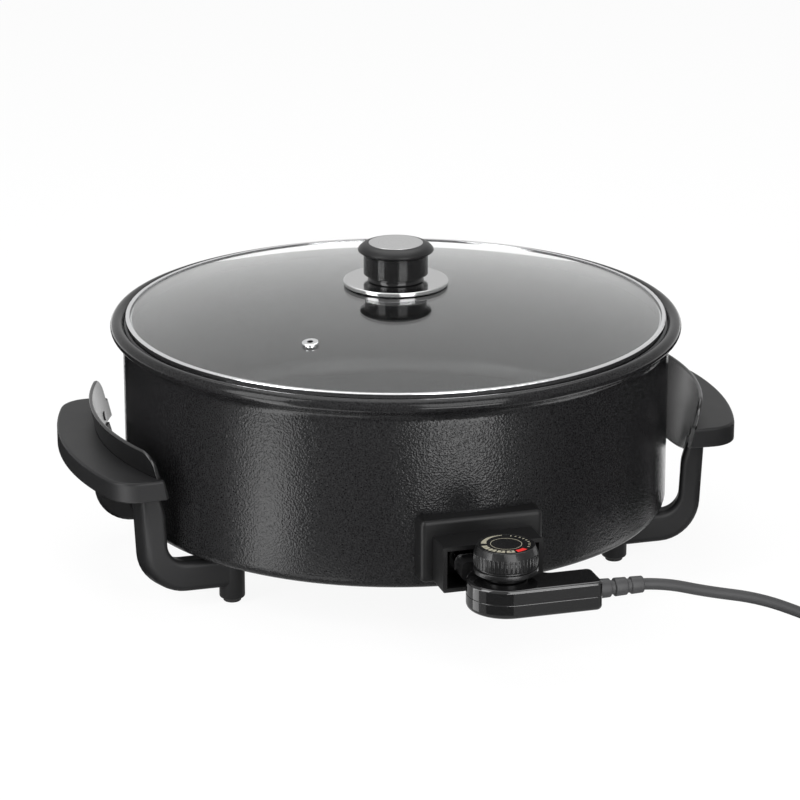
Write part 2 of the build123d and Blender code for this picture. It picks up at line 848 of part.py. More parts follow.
# Lid ring: bright channel round the edge of the glass, with a skirt that drops inside the cooking pan
ring_inner = ring_radius - ring_sheet
glass_low = ledge_z + ring_sheet
glass_high = glass_low + glass_thickness
with BuildPart() as lid_ring:
    with BuildSketch(radial(0)):
        with BuildLine():
            Polyline(
                (ring_skirt_radius, ledge_z - ring_skirt_depth),
                (ring_skirt_radius, ledge_z),
                (ring_radius, ledge_z),
                (ring_radius, ring_top),
                (ring_radius - ring_lip, ring_top),
                (ring_radius - ring_lip, glass_high),
                (ring_inner, glass_high),
                (ring_inner, glass_low),
                (ring_skirt_radius - ring_sheet, glass_low),
                (ring_skirt_radius - ring_sheet, ledge_z - ring_skirt_depth),
                close=True,
            )
        make_face()
        fillet(vertices().group_by(Axis.Y)[-1].sort_by(Axis.X)[-1], ring_sheet * 0.9)
    revolve(axis=pan_axis)
save(lid_ring, "lid_ring")

# Lid glass: shallow dome with a flat edge in the ring, bored for the knob's screw and for the vent
glass_radius = ring_inner - hole_fit / 2
dome_edge = glass_radius - glass_flat
dome_drop = crown_z - glass_high
dome_radius = (dome_edge**2 + dome_drop**2) / (2 * dome_drop)
vent_reach = math.hypot(vent_x, vent_y)
vent_rise = math.sqrt(dome_radius**2 - vent_reach**2)
vent_plane = Plane(
    origin=at(vent_x, vent_y, crown_z - dome_radius + vent_rise),
    z_dir=(vent_x, vent_y, vent_rise),
)
with BuildPart() as lid_glass:
    with BuildSketch(radial(0)):
        with BuildLine():
            over = TangentArc((0, crown_z), (dome_edge, glass_high), tangent=(1, 0))
            Polyline(over @ 1, (glass_radius, glass_high), (glass_radius, glass_low), (dome_edge, glass_low))
            under = TangentArc((0, crown_z - glass_thickness), (dome_edge, glass_low), tangent=(1, 0))
            Line(under @ 0, over @ 0)
        make_face()
    revolve(axis=pan_axis)
    with BuildSketch(level(crown_z)):
        Circle(glass_hole_radius)
    extrude(amount=2 * glass_thickness, both=True, mode=Mode.SUBTRACT)
    with BuildSketch(vent_plane):
        Circle(vent_tube_radius + hole_fit)
    extrude(amount=glass_thickness + vent_flange, both=True, mode=Mode.SUBTRACT)
save(lid_glass, "lid_glass")

# Vent eyelet: a rolled steel tube through the glass, flanged above and below
with BuildPart() as eyelet:
    with BuildSketch(vent_plane):
        Circle(vent_flange_radius)
    extrude(amount=vent_flange)
    fillet(eyelet.faces().sort_by(Axis.Z)[-1].edges(), vent_flange_round)
    with BuildSketch(vent_plane):
        Circle(vent_tube_radius)
    extrude(amount=-(glass_thickness + vent_flange))
    with BuildSketch(vent_plane.offset(-glass_thickness)):
        Circle(vent_back_radius)
    extrude(amount=-vent_flange)
    with BuildSketch(vent_plane):
        Circle(vent_hole_radius)
    extrude(amount=glass_thickness + 2 * vent_flange, both=True, mode=Mode.SUBTRACT)
save(eyelet, "vent_eyelet")

# Knob: seal and steel plate on the glass, turned body with a waist and a broad rim, steel disc in its top
plate_low = crown_z + gasket_height
knob_low = plate_low + plate_height
plate_rim_low = crown_z - dome_radius + math.sqrt(dome_radius**2 - plate_radius**2) + slide_fit
knob_top = knob_low + knob_height
screw_hole = knob_screw_radius + hole_fit
with BuildPart() as gasket:
    with BuildSketch(level(crown_z)):
        Circle(gasket_radius)
        Circle(screw_hole, mode=Mode.SUBTRACT)
    extrude(amount=gasket_height)
save(gasket, "knob_gasket")

with BuildPart() as knob_plate:
    with BuildSketch(level(plate_low)):
        Circle(plate_radius)
        Circle(screw_hole, mode=Mode.SUBTRACT)
    extrude(amount=plate_height)
    with BuildSketch(level(plate_rim_low)):
        Circle(plate_radius)
        Circle(plate_radius - plate_rim, mode=Mode.SUBTRACT)
    extrude(amount=knob_low - plate_rim_low)
    rim_edges = knob_plate.edges().filter_by(GeomType.CIRCLE).group_by(SortBy.RADIUS)[-1]
    fillet(rim_edges, plate_rim * 0.45)
save(knob_plate, "knob_plate")

neck_top = knob_low + knob_neck_height
band_top = neck_top + knob_band_height
flange_low = band_top + knob_groove + knob_under_rise
flange_high = flange_low + knob_edge_height
insert_low = knob_top + insert_proud - insert_height
with BuildPart() as knob:
    with BuildSketch(radial(0)):
        with BuildLine():
            bottom = Line((0, knob_low), (knob_neck_radius, knob_low))
            neck = ThreePointArc(
                bottom @ 1,
                (knob_neck_radius - knob_waist, knob_low + knob_neck_height / 2),
                (knob_neck_radius, neck_top),
            )
            band = Polyline(
                neck @ 1,
                (knob_band_radius, neck_top),
                (knob_band_radius, band_top),
                (knob_band_radius - knob_groove, band_top),
                (knob_band_radius - knob_groove, band_top + knob_groove),
                (knob_band_radius, band_top + knob_groove),
            )
            edge = Polyline(band @ 1, (knob_flange_radius, flange_low), (knob_flange_radius, flange_high))
            cap = ThreePointArc(
                edge @ 1,
                (
                    (knob_flange_radius + knob_cap_radius) / 2 + knob_cap_bulge,
                    (flange_high + knob_top) / 2 + knob_cap_bulge,
                ),
                (knob_cap_radius, knob_top),
            )
            Polyline(
                cap @ 1,
                (insert_radius + hole_fit, knob_top),
                (insert_radius + hole_fit, insert_low),
                (0, insert_low),
                bottom @ 0,
            )
        make_face()
        fillet(vertices().group_by(Axis.X)[-1], knob_edge_round)
    revolve(axis=pan_axis)
    with BuildSketch(level(knob_low)):
        Circle(screw_hole)
    extrude(amount=knob_screw_rise + hole_fit, mode=Mode.SUBTRACT)
save(knob, "knob_body")

with BuildPart() as insert:
    with BuildSketch(level(insert_low)):
        Circle(insert_radius)
    extrude(amount=insert_height)
    fillet(insert.faces().sort_by(Axis.Z)[-1].edges(), insert_proud)
save(insert, "knob_insert")

# Knob screw and its washer, under the glass
washer_high = crown_z - glass_thickness - hole_fit / 2
washer_low = washer_high - washer_height
with BuildPart() as washer:
    with BuildSketch(level(washer_low)):
        Circle(washer_radius)
        Circle(screw_hole, mode=Mode.SUBTRACT)
    extrude(amount=washer_height)
save(washer, "knob_washer")

with BuildPart() as knob_screw:
    with BuildSketch(level(washer_low)):
        Circle(knob_screw_head)
    extrude(amount=-knob_screw_head_height)
    fillet(knob_screw.faces().sort_by(Axis.Z)[0].edges(), knob_screw_head_height / 2)
    with BuildSketch(level(washer_low)):
        Circle(knob_screw_radius)
    extrude(amount=knob_low + knob_screw_rise - washer_low)
save(knob_screw, "knob_screw")


# Thermostat control: two moulded shells, round under the dial, with a tail that carries the cord
housing_side = dial_x + housing_round
neck_foot = dial_reach - math.sqrt(housing_round**2 - (neck_half_width + dial_x) ** 2)


def control_plan(z, inset=0):
    """Outline of the control's housing at height z, seen from above, drawn in by an inset."""
    with BuildSketch(level(z)) as plan:
        with BuildLine():
            side = ThreePointArc(
                (-neck_half_width, -neck_foot),
                (dial_x - housing_round, -dial_reach),
                (dial_x, -control_front),
            )
            Polyline(
                side @ 1,
                (tail_end, -control_front),
                (tail_end, -tail_back),
                (housing_side, -tail_back),
                (housing_side, -housing_back),
                (-neck_half_width, -housing_back),
                side @ 0,
            )
        make_face()
        fillet(vertices().group_by(Axis.X)[-1], tail_round)
        fillet(vertices().sort_by_distance((housing_side, -tail_back))[0], shoulder_round)
        fillet(vertices().sort_by_distance((-neck_half_width, -neck_foot))[0], neck_round)
        if inset:
            offset(amount=-inset, mode=Mode.REPLACE)
    return plan.sketch


housing_floor = housing_low + housing_wall
housing_roof = housing_high - housing_wall
control_boss_side = housing_round - control_boss_inset
control_bosses = [
    (dial_x - control_boss_side, -dial_reach),
    (dial_x + control_boss_side, -dial_reach),
    (tail_boss_x, -relief_y),
]
with BuildPart() as lower_shell:
    extrude(control_plan(housing_low), amount=split_z - housing_low)
    fillet(lower_shell.faces().sort_by(Axis.Z)[0].edges(), housing_low_round)
    extrude(control_plan(housing_floor, housing_wall), amount=split_z - housing_floor, mode=Mode.SUBTRACT)
    with BuildSketch(level(housing_low)):
        with Locations(*control_bosses):
            Circle(control_boss_radius)
    extrude(amount=split_z - housing_low)
    with BuildSketch(level(housing_low)):
        with Locations(*control_bosses):
            Circle(control_screw_head + hole_fit)
    extrude(amount=control_screw_sink, mode=Mode.SUBTRACT)
    with BuildSketch(level(housing_low)):
        with Locations(*control_bosses):
            Circle(control_screw_radius + hole_fit)
    extrude(amount=housing_height, mode=Mode.SUBTRACT)
    with BuildSketch(crosswise(tail_end - 2 * housing_wall, -relief_y, split_z)):
        Circle(relief_neck + hole_fit)
    extrude(amount=3 * housing_wall, mode=Mode.SUBTRACT)
save(lower_shell, "control_lower_shell")

tenon_mid = (tenon_low + tenon_high) / 2
tenon_height = tenon_high - tenon_low
with BuildPart() as upper_shell:
    extrude(control_plan(split_z), amount=housing_high - split_z)
    fillet(upper_shell.faces().sort_by(Axis.Z)[-1].edges(), housing_top_round)
    extrude(control_plan(split_z, housing_wall), amount=housing_roof - split_z, mode=Mode.SUBTRACT)
    with BuildSketch(level(split_z)):
        with Locations(*control_bosses):
            Circle(control_boss_radius)
    extrude(amount=housing_roof - split_z)
    with BuildSketch(level(housing_low + control_screw_sink)):
        with Locations(*control_bosses):
            Circle(control_screw_radius + hole_fit)
    extrude(amount=control_screw_length - control_screw_sink, mode=Mode.SUBTRACT)
    with BuildSketch(level(split_z, x=dial_x, y=-dial_reach)):
        Circle(thermostat_bush + hole_fit)
    extrude(amount=housing_height, mode=Mode.SUBTRACT)
    with BuildSketch(upright(y=-housing_back, z=tenon_mid)):
        Rectangle(2 * (tenon_half_width + hole_fit), tenon_height + 2 * hole_fit)
    extrude(amount=2 * housing_wall, mode=Mode.SUBTRACT)
    with BuildSketch(crosswise(tail_end - 2 * housing_wall, -relief_y, split_z)):
        Circle(relief_neck + hole_fit)
    extrude(amount=3 * housing_wall, mode=Mode.SUBTRACT)
save(upper_shell, "control_upper_shell")

# Control screws, up into the bosses from recesses underneath
control_screw_seat = housing_low + control_screw_sink
with BuildPart() as control_screws:
    with BuildSketch(level(control_screw_seat)):
        with Locations(*control_bosses):
            Circle(control_screw_head)
    extrude(amount=-control_screw_radius)
    with BuildSketch(level(control_screw_seat)):
        with Locations(*control_bosses):
            Circle(control_screw_radius)
    extrude(amount=control_screw_length - control_screw_sink - hole_fit)
save(control_screws, "control_screws")

# Nose: the block that goes into the shroud, keyed into the housing, bored for the contacts and the probe
sleeve_front = nose_tip + sleeve_set_back
with BuildPart() as nose:
    with BuildSketch(upright(y=-nose_tip, z=terminal_z)):
        RectangleRounded(2 * nose_half_width, 2 * nose_half_height, nose_round)
    extrude(amount=housing_back - nose_tip)
    with BuildSketch(upright(y=-housing_back, z=tenon_mid)):
        Rectangle(2 * tenon_half_width, tenon_height)
    extrude(amount=tenon_length)
    with BuildSketch(upright(y=-nose_tip)):
        with Locations(*terminals):
            Circle(sleeve_radius + running_fit)
    extrude(amount=sleeve_length + 2 * sleeve_set_back, mode=Mode.SUBTRACT)
    with BuildSketch(upright(y=-nose_tip, z=terminal_z)):
        Circle(probe_radius + running_fit)
    extrude(amount=probe_root + hole_fit - nose_tip, mode=Mode.SUBTRACT)
save(nose, "control_nose")

with BuildPart() as sleeves:
    with BuildSketch(upright(y=-sleeve_front)):
        with Locations(*terminals):
            Circle(sleeve_radius)
            Circle(pin_radius + sleeve_room, mode=Mode.SUBTRACT)
    extrude(amount=sleeve_length)
save(sleeves, "contact_sleeves")

with BuildPart() as probe:
    with BuildSketch(upright(y=-probe_tip, z=terminal_z)):
        Circle(probe_radius)
    extrude(amount=probe_root - probe_tip)
    fillet(probe.faces().sort_by(Axis.Y)[-1].edges(), probe_radius * 0.9)
save(probe, "control_probe")

# Earth strap: spring sheet bent over the top and sides of the nose
strap_outer = strap_gap + strap_sheet
with BuildPart() as strap:
    with BuildSketch(upright(y=-strap_start, z=terminal_z)):
        RectangleRounded(
            2 * (nose_half_width + strap_outer),
            2 * (nose_half_height + strap_outer),
            nose_round + strap_outer,
        )
        RectangleRounded(
            2 * (nose_half_width + strap_gap),
            2 * (nose_half_height + strap_gap),
            nose_round + strap_gap,
            mode=Mode.SUBTRACT,
        )
        with Locations((0, strap_low - terminal_z - 2 * nose_half_height)):
            Rectangle(4 * nose_half_width, 4 * nose_half_height, mode=Mode.SUBTRACT)
    extrude(amount=strap_width)
save(strap, "earth_strap")

# Thermostat switch on the housing floor, its bush up through the roof for the dial's shaft
with BuildPart() as thermostat:
    with BuildSketch(level(housing_floor, x=dial_x, y=-dial_reach)):
        Rectangle(2 * thermostat_half_x, 2 * thermostat_half_y)
    extrude(amount=thermostat_height)
    with BuildSketch(level(housing_floor, x=dial_x, y=-dial_reach)):
        Circle(thermostat_bush)
    extrude(amount=thermostat_bush_top - housing_floor)
    with BuildSketch(level(shaft_low - slide_fit, x=dial_x, y=-dial_reach)):
        Circle(shaft_radius + running_fit)
    extrude(amount=housing_height, mode=Mode.SUBTRACT)
save(thermostat, "thermostat_switch")

# Dial: hollow moulded knob with a ribbed band, on a shaft, with a printed disc let into its top
dial_low = housing_high + dial_gap
dial_top = dial_low + dial_height
rib_low = dial_low + dial_rib_low
rib_high = rib_low + dial_rib_height
rib_wall = dial_base_radius - dial_rib_rise
with BuildPart() as dial_shaft:
    with BuildSketch(level(shaft_low, x=dial_x, y=-dial_reach)):
        Circle(shaft_radius)
    extrude(amount=dial_low + shaft_into_dial - shaft_low)
save(dial_shaft, "dial_shaft")

with BuildPart() as dial:
    with BuildSketch(upright(x=dial_x, y=-dial_reach)):
        with BuildLine():
            Polyline(
                (0, dial_low),
                (dial_hub_radius, dial_low),
                (dial_hub_radius, dial_top - dial_crown),
                (dial_top_radius - dial_wall, dial_top - dial_crown),
                (dial_base_radius - dial_wall, dial_low),
                (dial_base_radius, dial_low),
                (dial_base_radius, dial_low + dial_base_height),
                (rib_wall - dial_groove, dial_low + dial_base_height),
                (rib_wall - dial_groove, rib_low),
                (rib_wall, rib_low),
                (rib_wall, rib_high),
                (dial_top_radius, dial_top),
                (0, dial_top),
                close=True,
            )
        make_face()
        fillet(vertices().group_by(Axis.Y)[-1].sort_by(Axis.X)[-1], dial_edge_round)
    revolve(axis=dial_axis)
    with BuildSketch(level(rib_low, x=dial_x, y=-dial_reach)):
        with PolarLocations(rib_wall, dial_rib_count):
            Rectangle(2 * dial_rib_rise, dial_rib_width)
    extrude(amount=dial_rib_height)
    with BuildSketch(level(dial_top, x=dial_x, y=-dial_reach)):
        Circle(face_radius + hole_fit)
    extrude(amount=-face_height, mode=Mode.SUBTRACT)
    with BuildSketch(level(dial_low, x=dial_x, y=-dial_reach)):
        Circle(shaft_radius + running_fit)
    extrude(amount=shaft_into_dial, mode=Mode.SUBTRACT)
save(dial, "dial_knob")

with BuildPart() as dial_face:
    with BuildSketch(level(dial_top - face_height, x=dial_x, y=-dial_reach)):
        Circle(face_radius)
    extrude(amount=face_height)
save(dial_face, "dial_face")

# Strain relief: flanged inside the tail, tapering in ringed steps towards the cord
relief_axis = Axis(at(0, -relief_y, split_z), (1, 0, 0))
rib_run = (relief_length + relief_groove) / relief_rib_count
relief_taper = (relief_radius - relief_tip_radius) / relief_length
relief_core = relief_neck - hole_fit
with BuildPart() as relief:
    with BuildSketch(upright(y=-relief_y, z=split_z)):
        with BuildLine():
            Polyline(
                (tail_end - housing_wall - relief_flange, 0),
                (tail_end - housing_wall - relief_flange, relief_flange_radius),
                (tail_end - housing_wall, relief_flange_radius),
                (tail_end - housing_wall, relief_core),
                (relief_end, relief_core),
                (relief_end, 0),
                close=True,
            )
        make_face()
        for index in range(relief_rib_count):
            rib_start = index * rib_run
            rib_end = rib_start + rib_run - relief_groove
            with BuildLine():
                Polyline(
                    (tail_end + rib_start, 0),
                    (tail_end + rib_start, relief_radius - rib_start * relief_taper),
                    (tail_end + rib_end, relief_radius - rib_end * relief_taper),
                    (tail_end + rib_end, 0),
                    close=True,
                )
            make_face()
    revolve(axis=relief_axis)
save(relief, "strain_relief")

# Mains cord: out of the strain relief, down to the floor and along it to the coil
coil_low = tie_sheet + tie_room + cord_diameter / 2
coil_entry = (coil_x - cord_diameter, coil_y - coil_radius, coil_low)
cord_route = [
    (relief_end, -relief_y, split_z),
    (109, -relief_y, split_z),
    (139, -281.4, 53.8),
    (178, -282.8, 44.6),
    (212, -285.8, 27.5),
    (238, -289.5, 14.5),
    (coil_entry[0] - 20, coil_entry[1], coil_low),
    coil_entry,
]
route = [Vector(*at(*point)) for point in cord_route]
runs = [after - before for before, after in zip(route, route[1:])]
bend_radii = []
for before, after in zip(runs, runs[1:]):
    half_turn = math.radians(before.get_angle(after)) / 2
    bend_radii.append(0.45 * min(before.length, after.length) / math.tan(half_turn))
print("cord bend radii", [round(radius, 1) for radius in bend_radii])
with BuildPart() as cord:
    with BuildLine() as cord_path:
        FilletPolyline(*route, radius=bend_radii)
    with BuildSketch(crosswise(*cord_route[0])):
        Circle(cord_diameter / 2)
    sweep(path=cord_path.wires()[0])
cord_section = math.pi * cord_diameter**2 / 4
cord_length = cord_path.wires()[0].length
print("cord length", round(cord_length, 1), "volume over section times length",
      round(cord.part.volume / (cord_section * cord_length), 4))
save(cord, "power_cord")


# Coil of spare cord: one tube that spirals in, climbs a layer and spirals out again, then rises to the plug
def arc_middle(start, heading, end, end_heading):
    """Point where two tangent arcs meet that leave start and reach end along the given headings."""
    chord = end - start
    if heading.dot(end_heading) < 0:
        reach = chord.length / 2
    else:
        reach = chord.dot(chord) / (4 * chord.dot(heading))
    return (start + end + (heading - end_heading) * reach) * 0.5


forward = Vector(1, 0, 0)
sideways = Vector(0, 1, 0)
up = Vector(0, 0, 1)
coil_start = route[-1]
with BuildPart() as coil:
    with BuildLine() as coil_path:
        place = coil_start + forward * cord_diameter
        Line(coil_start, place)
        heading = forward
        for index in range(2 * coil_half_turns):
            steps_in = min(index, 2 * coil_half_turns - index)
            radius = coil_radius - steps_in * coil_pitch / 2
            climb = coil_pitch if index == coil_half_turns else 0
            goal = place + sideways * heading.X * 2 * radius + up * climb
            middle = arc_middle(place, heading, goal, heading * -1)
            near_arc = TangentArc(place, middle, tangent=heading)
            TangentArc(middle, goal, tangent=near_arc % 1)
            place = goal
            heading = heading * -1
        goal = place + (forward + sideways) * coil_radius
        TangentArc(place, goal, tangent=forward)
        place = goal
        goal = place + sideways * plug_rise_run + up * (plug_axis_z - place.Z)
        middle = arc_middle(place, sideways, goal, sideways)
        near_arc = TangentArc(place, middle, tangent=sideways)
        TangentArc(middle, goal, tangent=near_arc % 1)
        coil_end = goal + sideways * cord_diameter
        Line(goal, coil_end)
    with BuildSketch(Plane(origin=coil_start, z_dir=forward)):
        Circle(cord_diameter / 2)
    sweep(path=coil_path.wires()[0])
coil_wire = coil_path.wires()[0]
sample_count = int(coil_wire.length / cord_diameter * 4)
samples = [coil_wire.position_at(index / sample_count) for index in range(sample_count + 1)]
samples_apart = 16
least = min(
    (samples[first] - samples[second]).length
    for first in range(len(samples))
    for second in range(first + samples_apart, len(samples))
)
print("coil length", round(coil_wire.length, 1), "least gap to itself", round(least - cord_diameter, 2))
print("coil volume over section times length", round(coil.part.volume / (cord_section * coil_wire.length), 4))
save(coil, "cord_coil")

# Tie: a band round the bundle of turns on the coil's near side
bundle_outer = coil_x - coil_radius + coil_pitch / 2 - cord_diameter / 2
bundle_inner = coil_x - coil_radius + 1.5 * coil_pitch + cord_diameter / 2
bundle_y = coil_y + coil_pitch / 2
bundle_width = bundle_inner - bundle_outer + 2 * tie_room
bundle_height = coil_pitch + cord_diameter + 2 * tie_room
with BuildPart() as tie:
    with BuildSketch(
        upright((bundle_outer + bundle_inner) / 2, bundle_y + tie_width / 2, bundle_height / 2 + tie_sheet)
    ):
        RectangleRounded(bundle_width + 2 * tie_sheet, bundle_height + 2 * tie_sheet, tie_round)
        RectangleRounded(bundle_width, bundle_height, tie_round - tie_sheet, mode=Mode.SUBTRACT)
    extrude(amount=tie_width)
save(tie, "coil_tie")

# Mains plug: round moulded body with a tapered boot, and two round pins
plug_plane = Plane(origin=coil_end, x_dir=(1, 0, 0), z_dir=(0, 0, 1))
plug_axis = Axis(coil_end, (0, 1, 0))
plug_face = plug_boot_length + plug_length
with BuildPart() as plug:
    with BuildSketch(plug_plane):
        with BuildLine():
            Polyline(
                (0, 0),
                (plug_boot_radius, 0),
                (plug_neck_radius, plug_boot_length),
                (plug_radius, plug_boot_length + plug_neck_radius),
                (plug_radius, plug_face),
                (0, plug_face),
                close=True,
            )
        make_face()
        fillet(vertices().group_by(Axis.X)[-1], plug_edge_round)
    revolve(axis=plug_axis)
save(plug, "plug_body")

with BuildPart() as plug_pins:
    with BuildSketch(Plane(origin=coil_end + sideways * plug_face, x_dir=(1, 0, 0), z_dir=(0, 1, 0))):
        with Locations((-plug_pin_spacing / 2, 0), (plug_pin_spacing / 2, 0)):
            Circle(plug_pin_radius)
    extrude(amount=plug_pin_length)
    fillet(plug_pins.faces().group_by(Axis.Y)[-1].edges(), plug_pin_radius * 0.8)
save(plug_pins, "plug_pins")
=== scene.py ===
# %% [markdown]
# # An electric paella pan
# The object is a deep round pan that heats itself. A black hammered casing holds the cooking pan and the
# heating element, two curved handles carry it on four feet, a domed glass lid closes it, and a plug-in
# thermostat control with a dial brings the current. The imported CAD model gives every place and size; this
# lesson dresses it, piece by piece, with surfaces worked out in numpy and with finishes made of nodes.

# %% Load the frame
import math

import bmesh
import bpy
import numpy as np
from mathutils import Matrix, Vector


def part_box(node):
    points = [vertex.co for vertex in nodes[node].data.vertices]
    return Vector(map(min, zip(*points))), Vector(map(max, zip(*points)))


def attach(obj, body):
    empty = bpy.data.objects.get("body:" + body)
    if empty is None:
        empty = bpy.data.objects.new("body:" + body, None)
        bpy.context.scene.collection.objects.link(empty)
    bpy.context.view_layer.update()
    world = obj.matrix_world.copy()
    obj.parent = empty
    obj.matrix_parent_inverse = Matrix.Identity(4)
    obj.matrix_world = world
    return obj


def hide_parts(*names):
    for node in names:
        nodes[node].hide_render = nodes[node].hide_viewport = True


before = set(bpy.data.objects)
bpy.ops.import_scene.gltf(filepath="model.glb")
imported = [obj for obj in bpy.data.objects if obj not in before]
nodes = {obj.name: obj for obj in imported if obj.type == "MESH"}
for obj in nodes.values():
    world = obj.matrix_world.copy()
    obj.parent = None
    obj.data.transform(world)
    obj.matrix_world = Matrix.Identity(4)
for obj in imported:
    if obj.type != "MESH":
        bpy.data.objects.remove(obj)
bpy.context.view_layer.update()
MM = 0.001

casing_low, casing_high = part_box("outer_casing")
pan_y = (casing_low[1] + casing_high[1]) / 2 / MM
rim_radius = (casing_high[0] - casing_low[0]) / 2 / MM
rim_top = casing_high[2] / MM
casing_bottom = casing_low[2] / MM
print(f"pan axis at y {pan_y:.1f} mm, rim radius {rim_radius:.1f} mm, rim top {rim_top:.1f} mm")

# %% [markdown]
# ## The camera
# The picture was taken from a good distance with a long lens, so the ellipses of rim, lid and plate
# hardly change from front to back. The camera stands 2.6 m away, a little to the left of the control, and
# looks down by 18 degrees. Its aim is given from the pan's axis.

# %% Camera
def new_object(name, data):
    """Object of that name in the scene, made from a mesh, a curve, a lamp or a camera."""
    thing = bpy.data.objects.new(name, data)
    bpy.context.collection.objects.link(thing)
    print("made", name)
    return thing


VIEW_TURN, VIEW_TILT = math.radians(16.5), math.radians(18.2)
VIEW_DISTANCE = 2.6
AIM_ASIDE, AIM_HEIGHT = 0.0031, 0.1135
LENS, SENSOR_WIDTH = 157.5, 36.0

right_hand = np.array([math.cos(VIEW_TURN), -math.sin(VIEW_TURN), 0.0])
away = np.array([math.sin(VIEW_TURN), math.cos(VIEW_TURN), 0.0])
upward = np.array([0.0, 0.0, 1.0])
pan_axis = np.array([0.0, pan_y * MM, 0.0])
aim = pan_axis + AIM_ASIDE * right_hand + AIM_HEIGHT * upward
stand = aim + VIEW_DISTANCE * (math.sin(VIEW_TILT) * upward - math.cos(VIEW_TILT) * away)

camera_data = bpy.data.cameras.new("photo_camera")
camera_data.lens = LENS
camera_data.sensor_width = SENSOR_WIDTH
camera = new_object("photo_camera", camera_data)
camera.location = stand
camera.rotation_euler = (math.pi / 2 - VIEW_TILT, 0.0, -VIEW_TURN)
bpy.context.scene.camera = camera
bpy.context.scene.view_settings.view_transform = "Standard"
print("camera at", np.round(stand, 3))

# %% [markdown]
# ## Finishes
# Each finish starts from the Principled shader. A few small helpers make the nodes that nearly all
# finishes share: object coordinates, a noise, a bump and a colour ramp. Numbers that are the same all
# over a surface are set on the shader itself.

# %% Node helpers
def fill(node, entries):
    """Fill a node's entries: a socket is linked, and anything else becomes the entry's own value."""
    for entry, value in entries.items():
        if isinstance(value, bpy.types.NodeSocket):
            node.id_data.links.new(value, node.inputs[entry])
        else:
            node.inputs[entry].default_value = value
    return node


def new_node(beside, kind, entries=()):
    """Node in the same tree as another node or socket, with its entries filled."""
    return fill(beside.id_data.nodes.new(f"ShaderNode{kind}"), dict(entries))


def new_finish(name, colour, roughness, metallic=0.0, shine=0.5):
    """Material with a Principled shader set to a colour, a roughness, a metal share and a shine."""
    material = bpy.data.materials.new(name)
    material.use_nodes = True
    shader = material.node_tree.nodes["Principled BSDF"]
    entries = {"Base Color": (*colour, 1.0), "Roughness": roughness, "Metallic": metallic}
    fill(shader, {**entries, "Specular IOR Level": shine})
    print("finish", name)
    return material, shader


def place_of(shader):
    """Socket with the surface point in metres, in the part's own frame."""
    return new_node(shader, "TexCoord").outputs["Object"]


def axes_of(place):
    """Sockets with the x, y and z of a point, by the letters X, Y and Z."""
    return new_node(place, "SeparateXYZ", {0: place}).outputs


WEAR_DETAIL, CLOUD_DETAIL, GRAIN_DETAIL, PLAIN_DETAIL = 4.0, 3.0, 2.0, 1.0


def noise_on(place, per_metre, detail=CLOUD_DETAIL):
    """Socket with a cloudy noise from 0 to 1, with that many lumps to the metre."""
    entries = {"Vector": place, "Scale": per_metre, "Detail": detail}
    return new_node(place, "TexNoise", entries).outputs["Fac"]


def math_on(operation, *terms):
    """Socket with a sum, product or other operation on a socket and other sockets or plain numbers."""
    node = new_node(terms[0], "Math", enumerate(terms))
    node.operation = operation
    return node.outputs[0]


def spread(value, low, high, first=0.0, last=1.0):
    """Socket with a value carried from the range first to last over to the range low to high."""
    entries = {"Value": value, "From Min": first, "From Max": last, "To Min": low, "To Max": high}
    return new_node(value, "MapRange", entries).outputs["Result"]


def tint(value, dark, pale, low=0.0, high=1.0):
    """Socket with a colour that goes from dark to pale as a value goes from low to high."""
    ramp = new_node(value, "ValToRGB", {"Fac": value})
    first, last = ramp.color_ramp.elements
    first.color, first.position = (*dark, 1.0), low
    last.color, last.position = (*pale, 1.0), high
    return ramp.outputs["Color"]


def bump_on(shader, height, depth):
    """Tilt the shader's normal as a height field of that depth in metres would."""
    bump = new_node(height, "Bump", {"Height": height, "Distance": depth})
    fill(shader, {"Normal": bump.outputs["Normal"]})


def show(shader, output):
    """Let a material's surface be another shader's output."""
    fill(shader.id_data.nodes["Material Output"], {"Surface": output})


# %% [markdown]
# ### Hammered paint
# The casing wears a black stove enamel that dries into small dimples, a little over a millimetre apart.
# Modelled one by one they would be far too many, so Voronoi cells give their height to a bump, and a
# noise makes them uneven in height and shade. Towards the rolled rim the enamel was stretched smooth, so
# the dimples fade out with height.

# %% Hammered paint
DIMPLES_PER_METRE, DIMPLE_SMOOTHNESS, DIMPLE_DEPTH = 740.0, 0.7, 0.0002
LUMPS_PER_METRE, LUMP_SHARE, LUMP_LOW, LUMP_HIGH = 1000.0, 0.5, 0.32, 0.68
LUMP_DARK, LUMP_PALE = (0.003, 0.003, 0.0032), (0.016, 0.016, 0.0165)
FADE_START, FADE_STOP, FADE_LEFT = (rim_top - 22) * MM, (rim_top - 10) * MM, 0.15
ENAMEL_PATCHES, ENAMEL_ROUGHNESS = 60.0, (0.1, 0.15)


def hammered_paint():
    """Black enamel with fine dimples on the wall that fade towards the rim."""
    material, shader = new_finish("hammered_black_enamel", (0.008, 0.008, 0.0085), 0.24, shine=0.14)
    place = place_of(shader)
    cells = new_node(place, "TexVoronoi")
    cells.feature = "SMOOTH_F1"
    fill(cells, {"Vector": place, "Scale": DIMPLES_PER_METRE, "Smoothness": DIMPLE_SMOOTHNESS})
    lumps = noise_on(place, LUMPS_PER_METRE, GRAIN_DETAIL)
    relief = math_on("ADD", cells.outputs["Distance"], math_on("MULTIPLY", lumps, LUMP_SHARE))
    fade = spread(axes_of(place)["Z"], 1.0, FADE_LEFT, FADE_START, FADE_STOP)
    bump_on(shader, math_on("MULTIPLY", relief, fade), DIMPLE_DEPTH)
    shade = tint(lumps, LUMP_DARK, LUMP_PALE, LUMP_LOW, LUMP_HIGH)
    roughness = spread(noise_on(place, ENAMEL_PATCHES), *ENAMEL_ROUGHNESS)
    fill(shader, {"Base Color": shade, "Roughness": roughness})
    return material


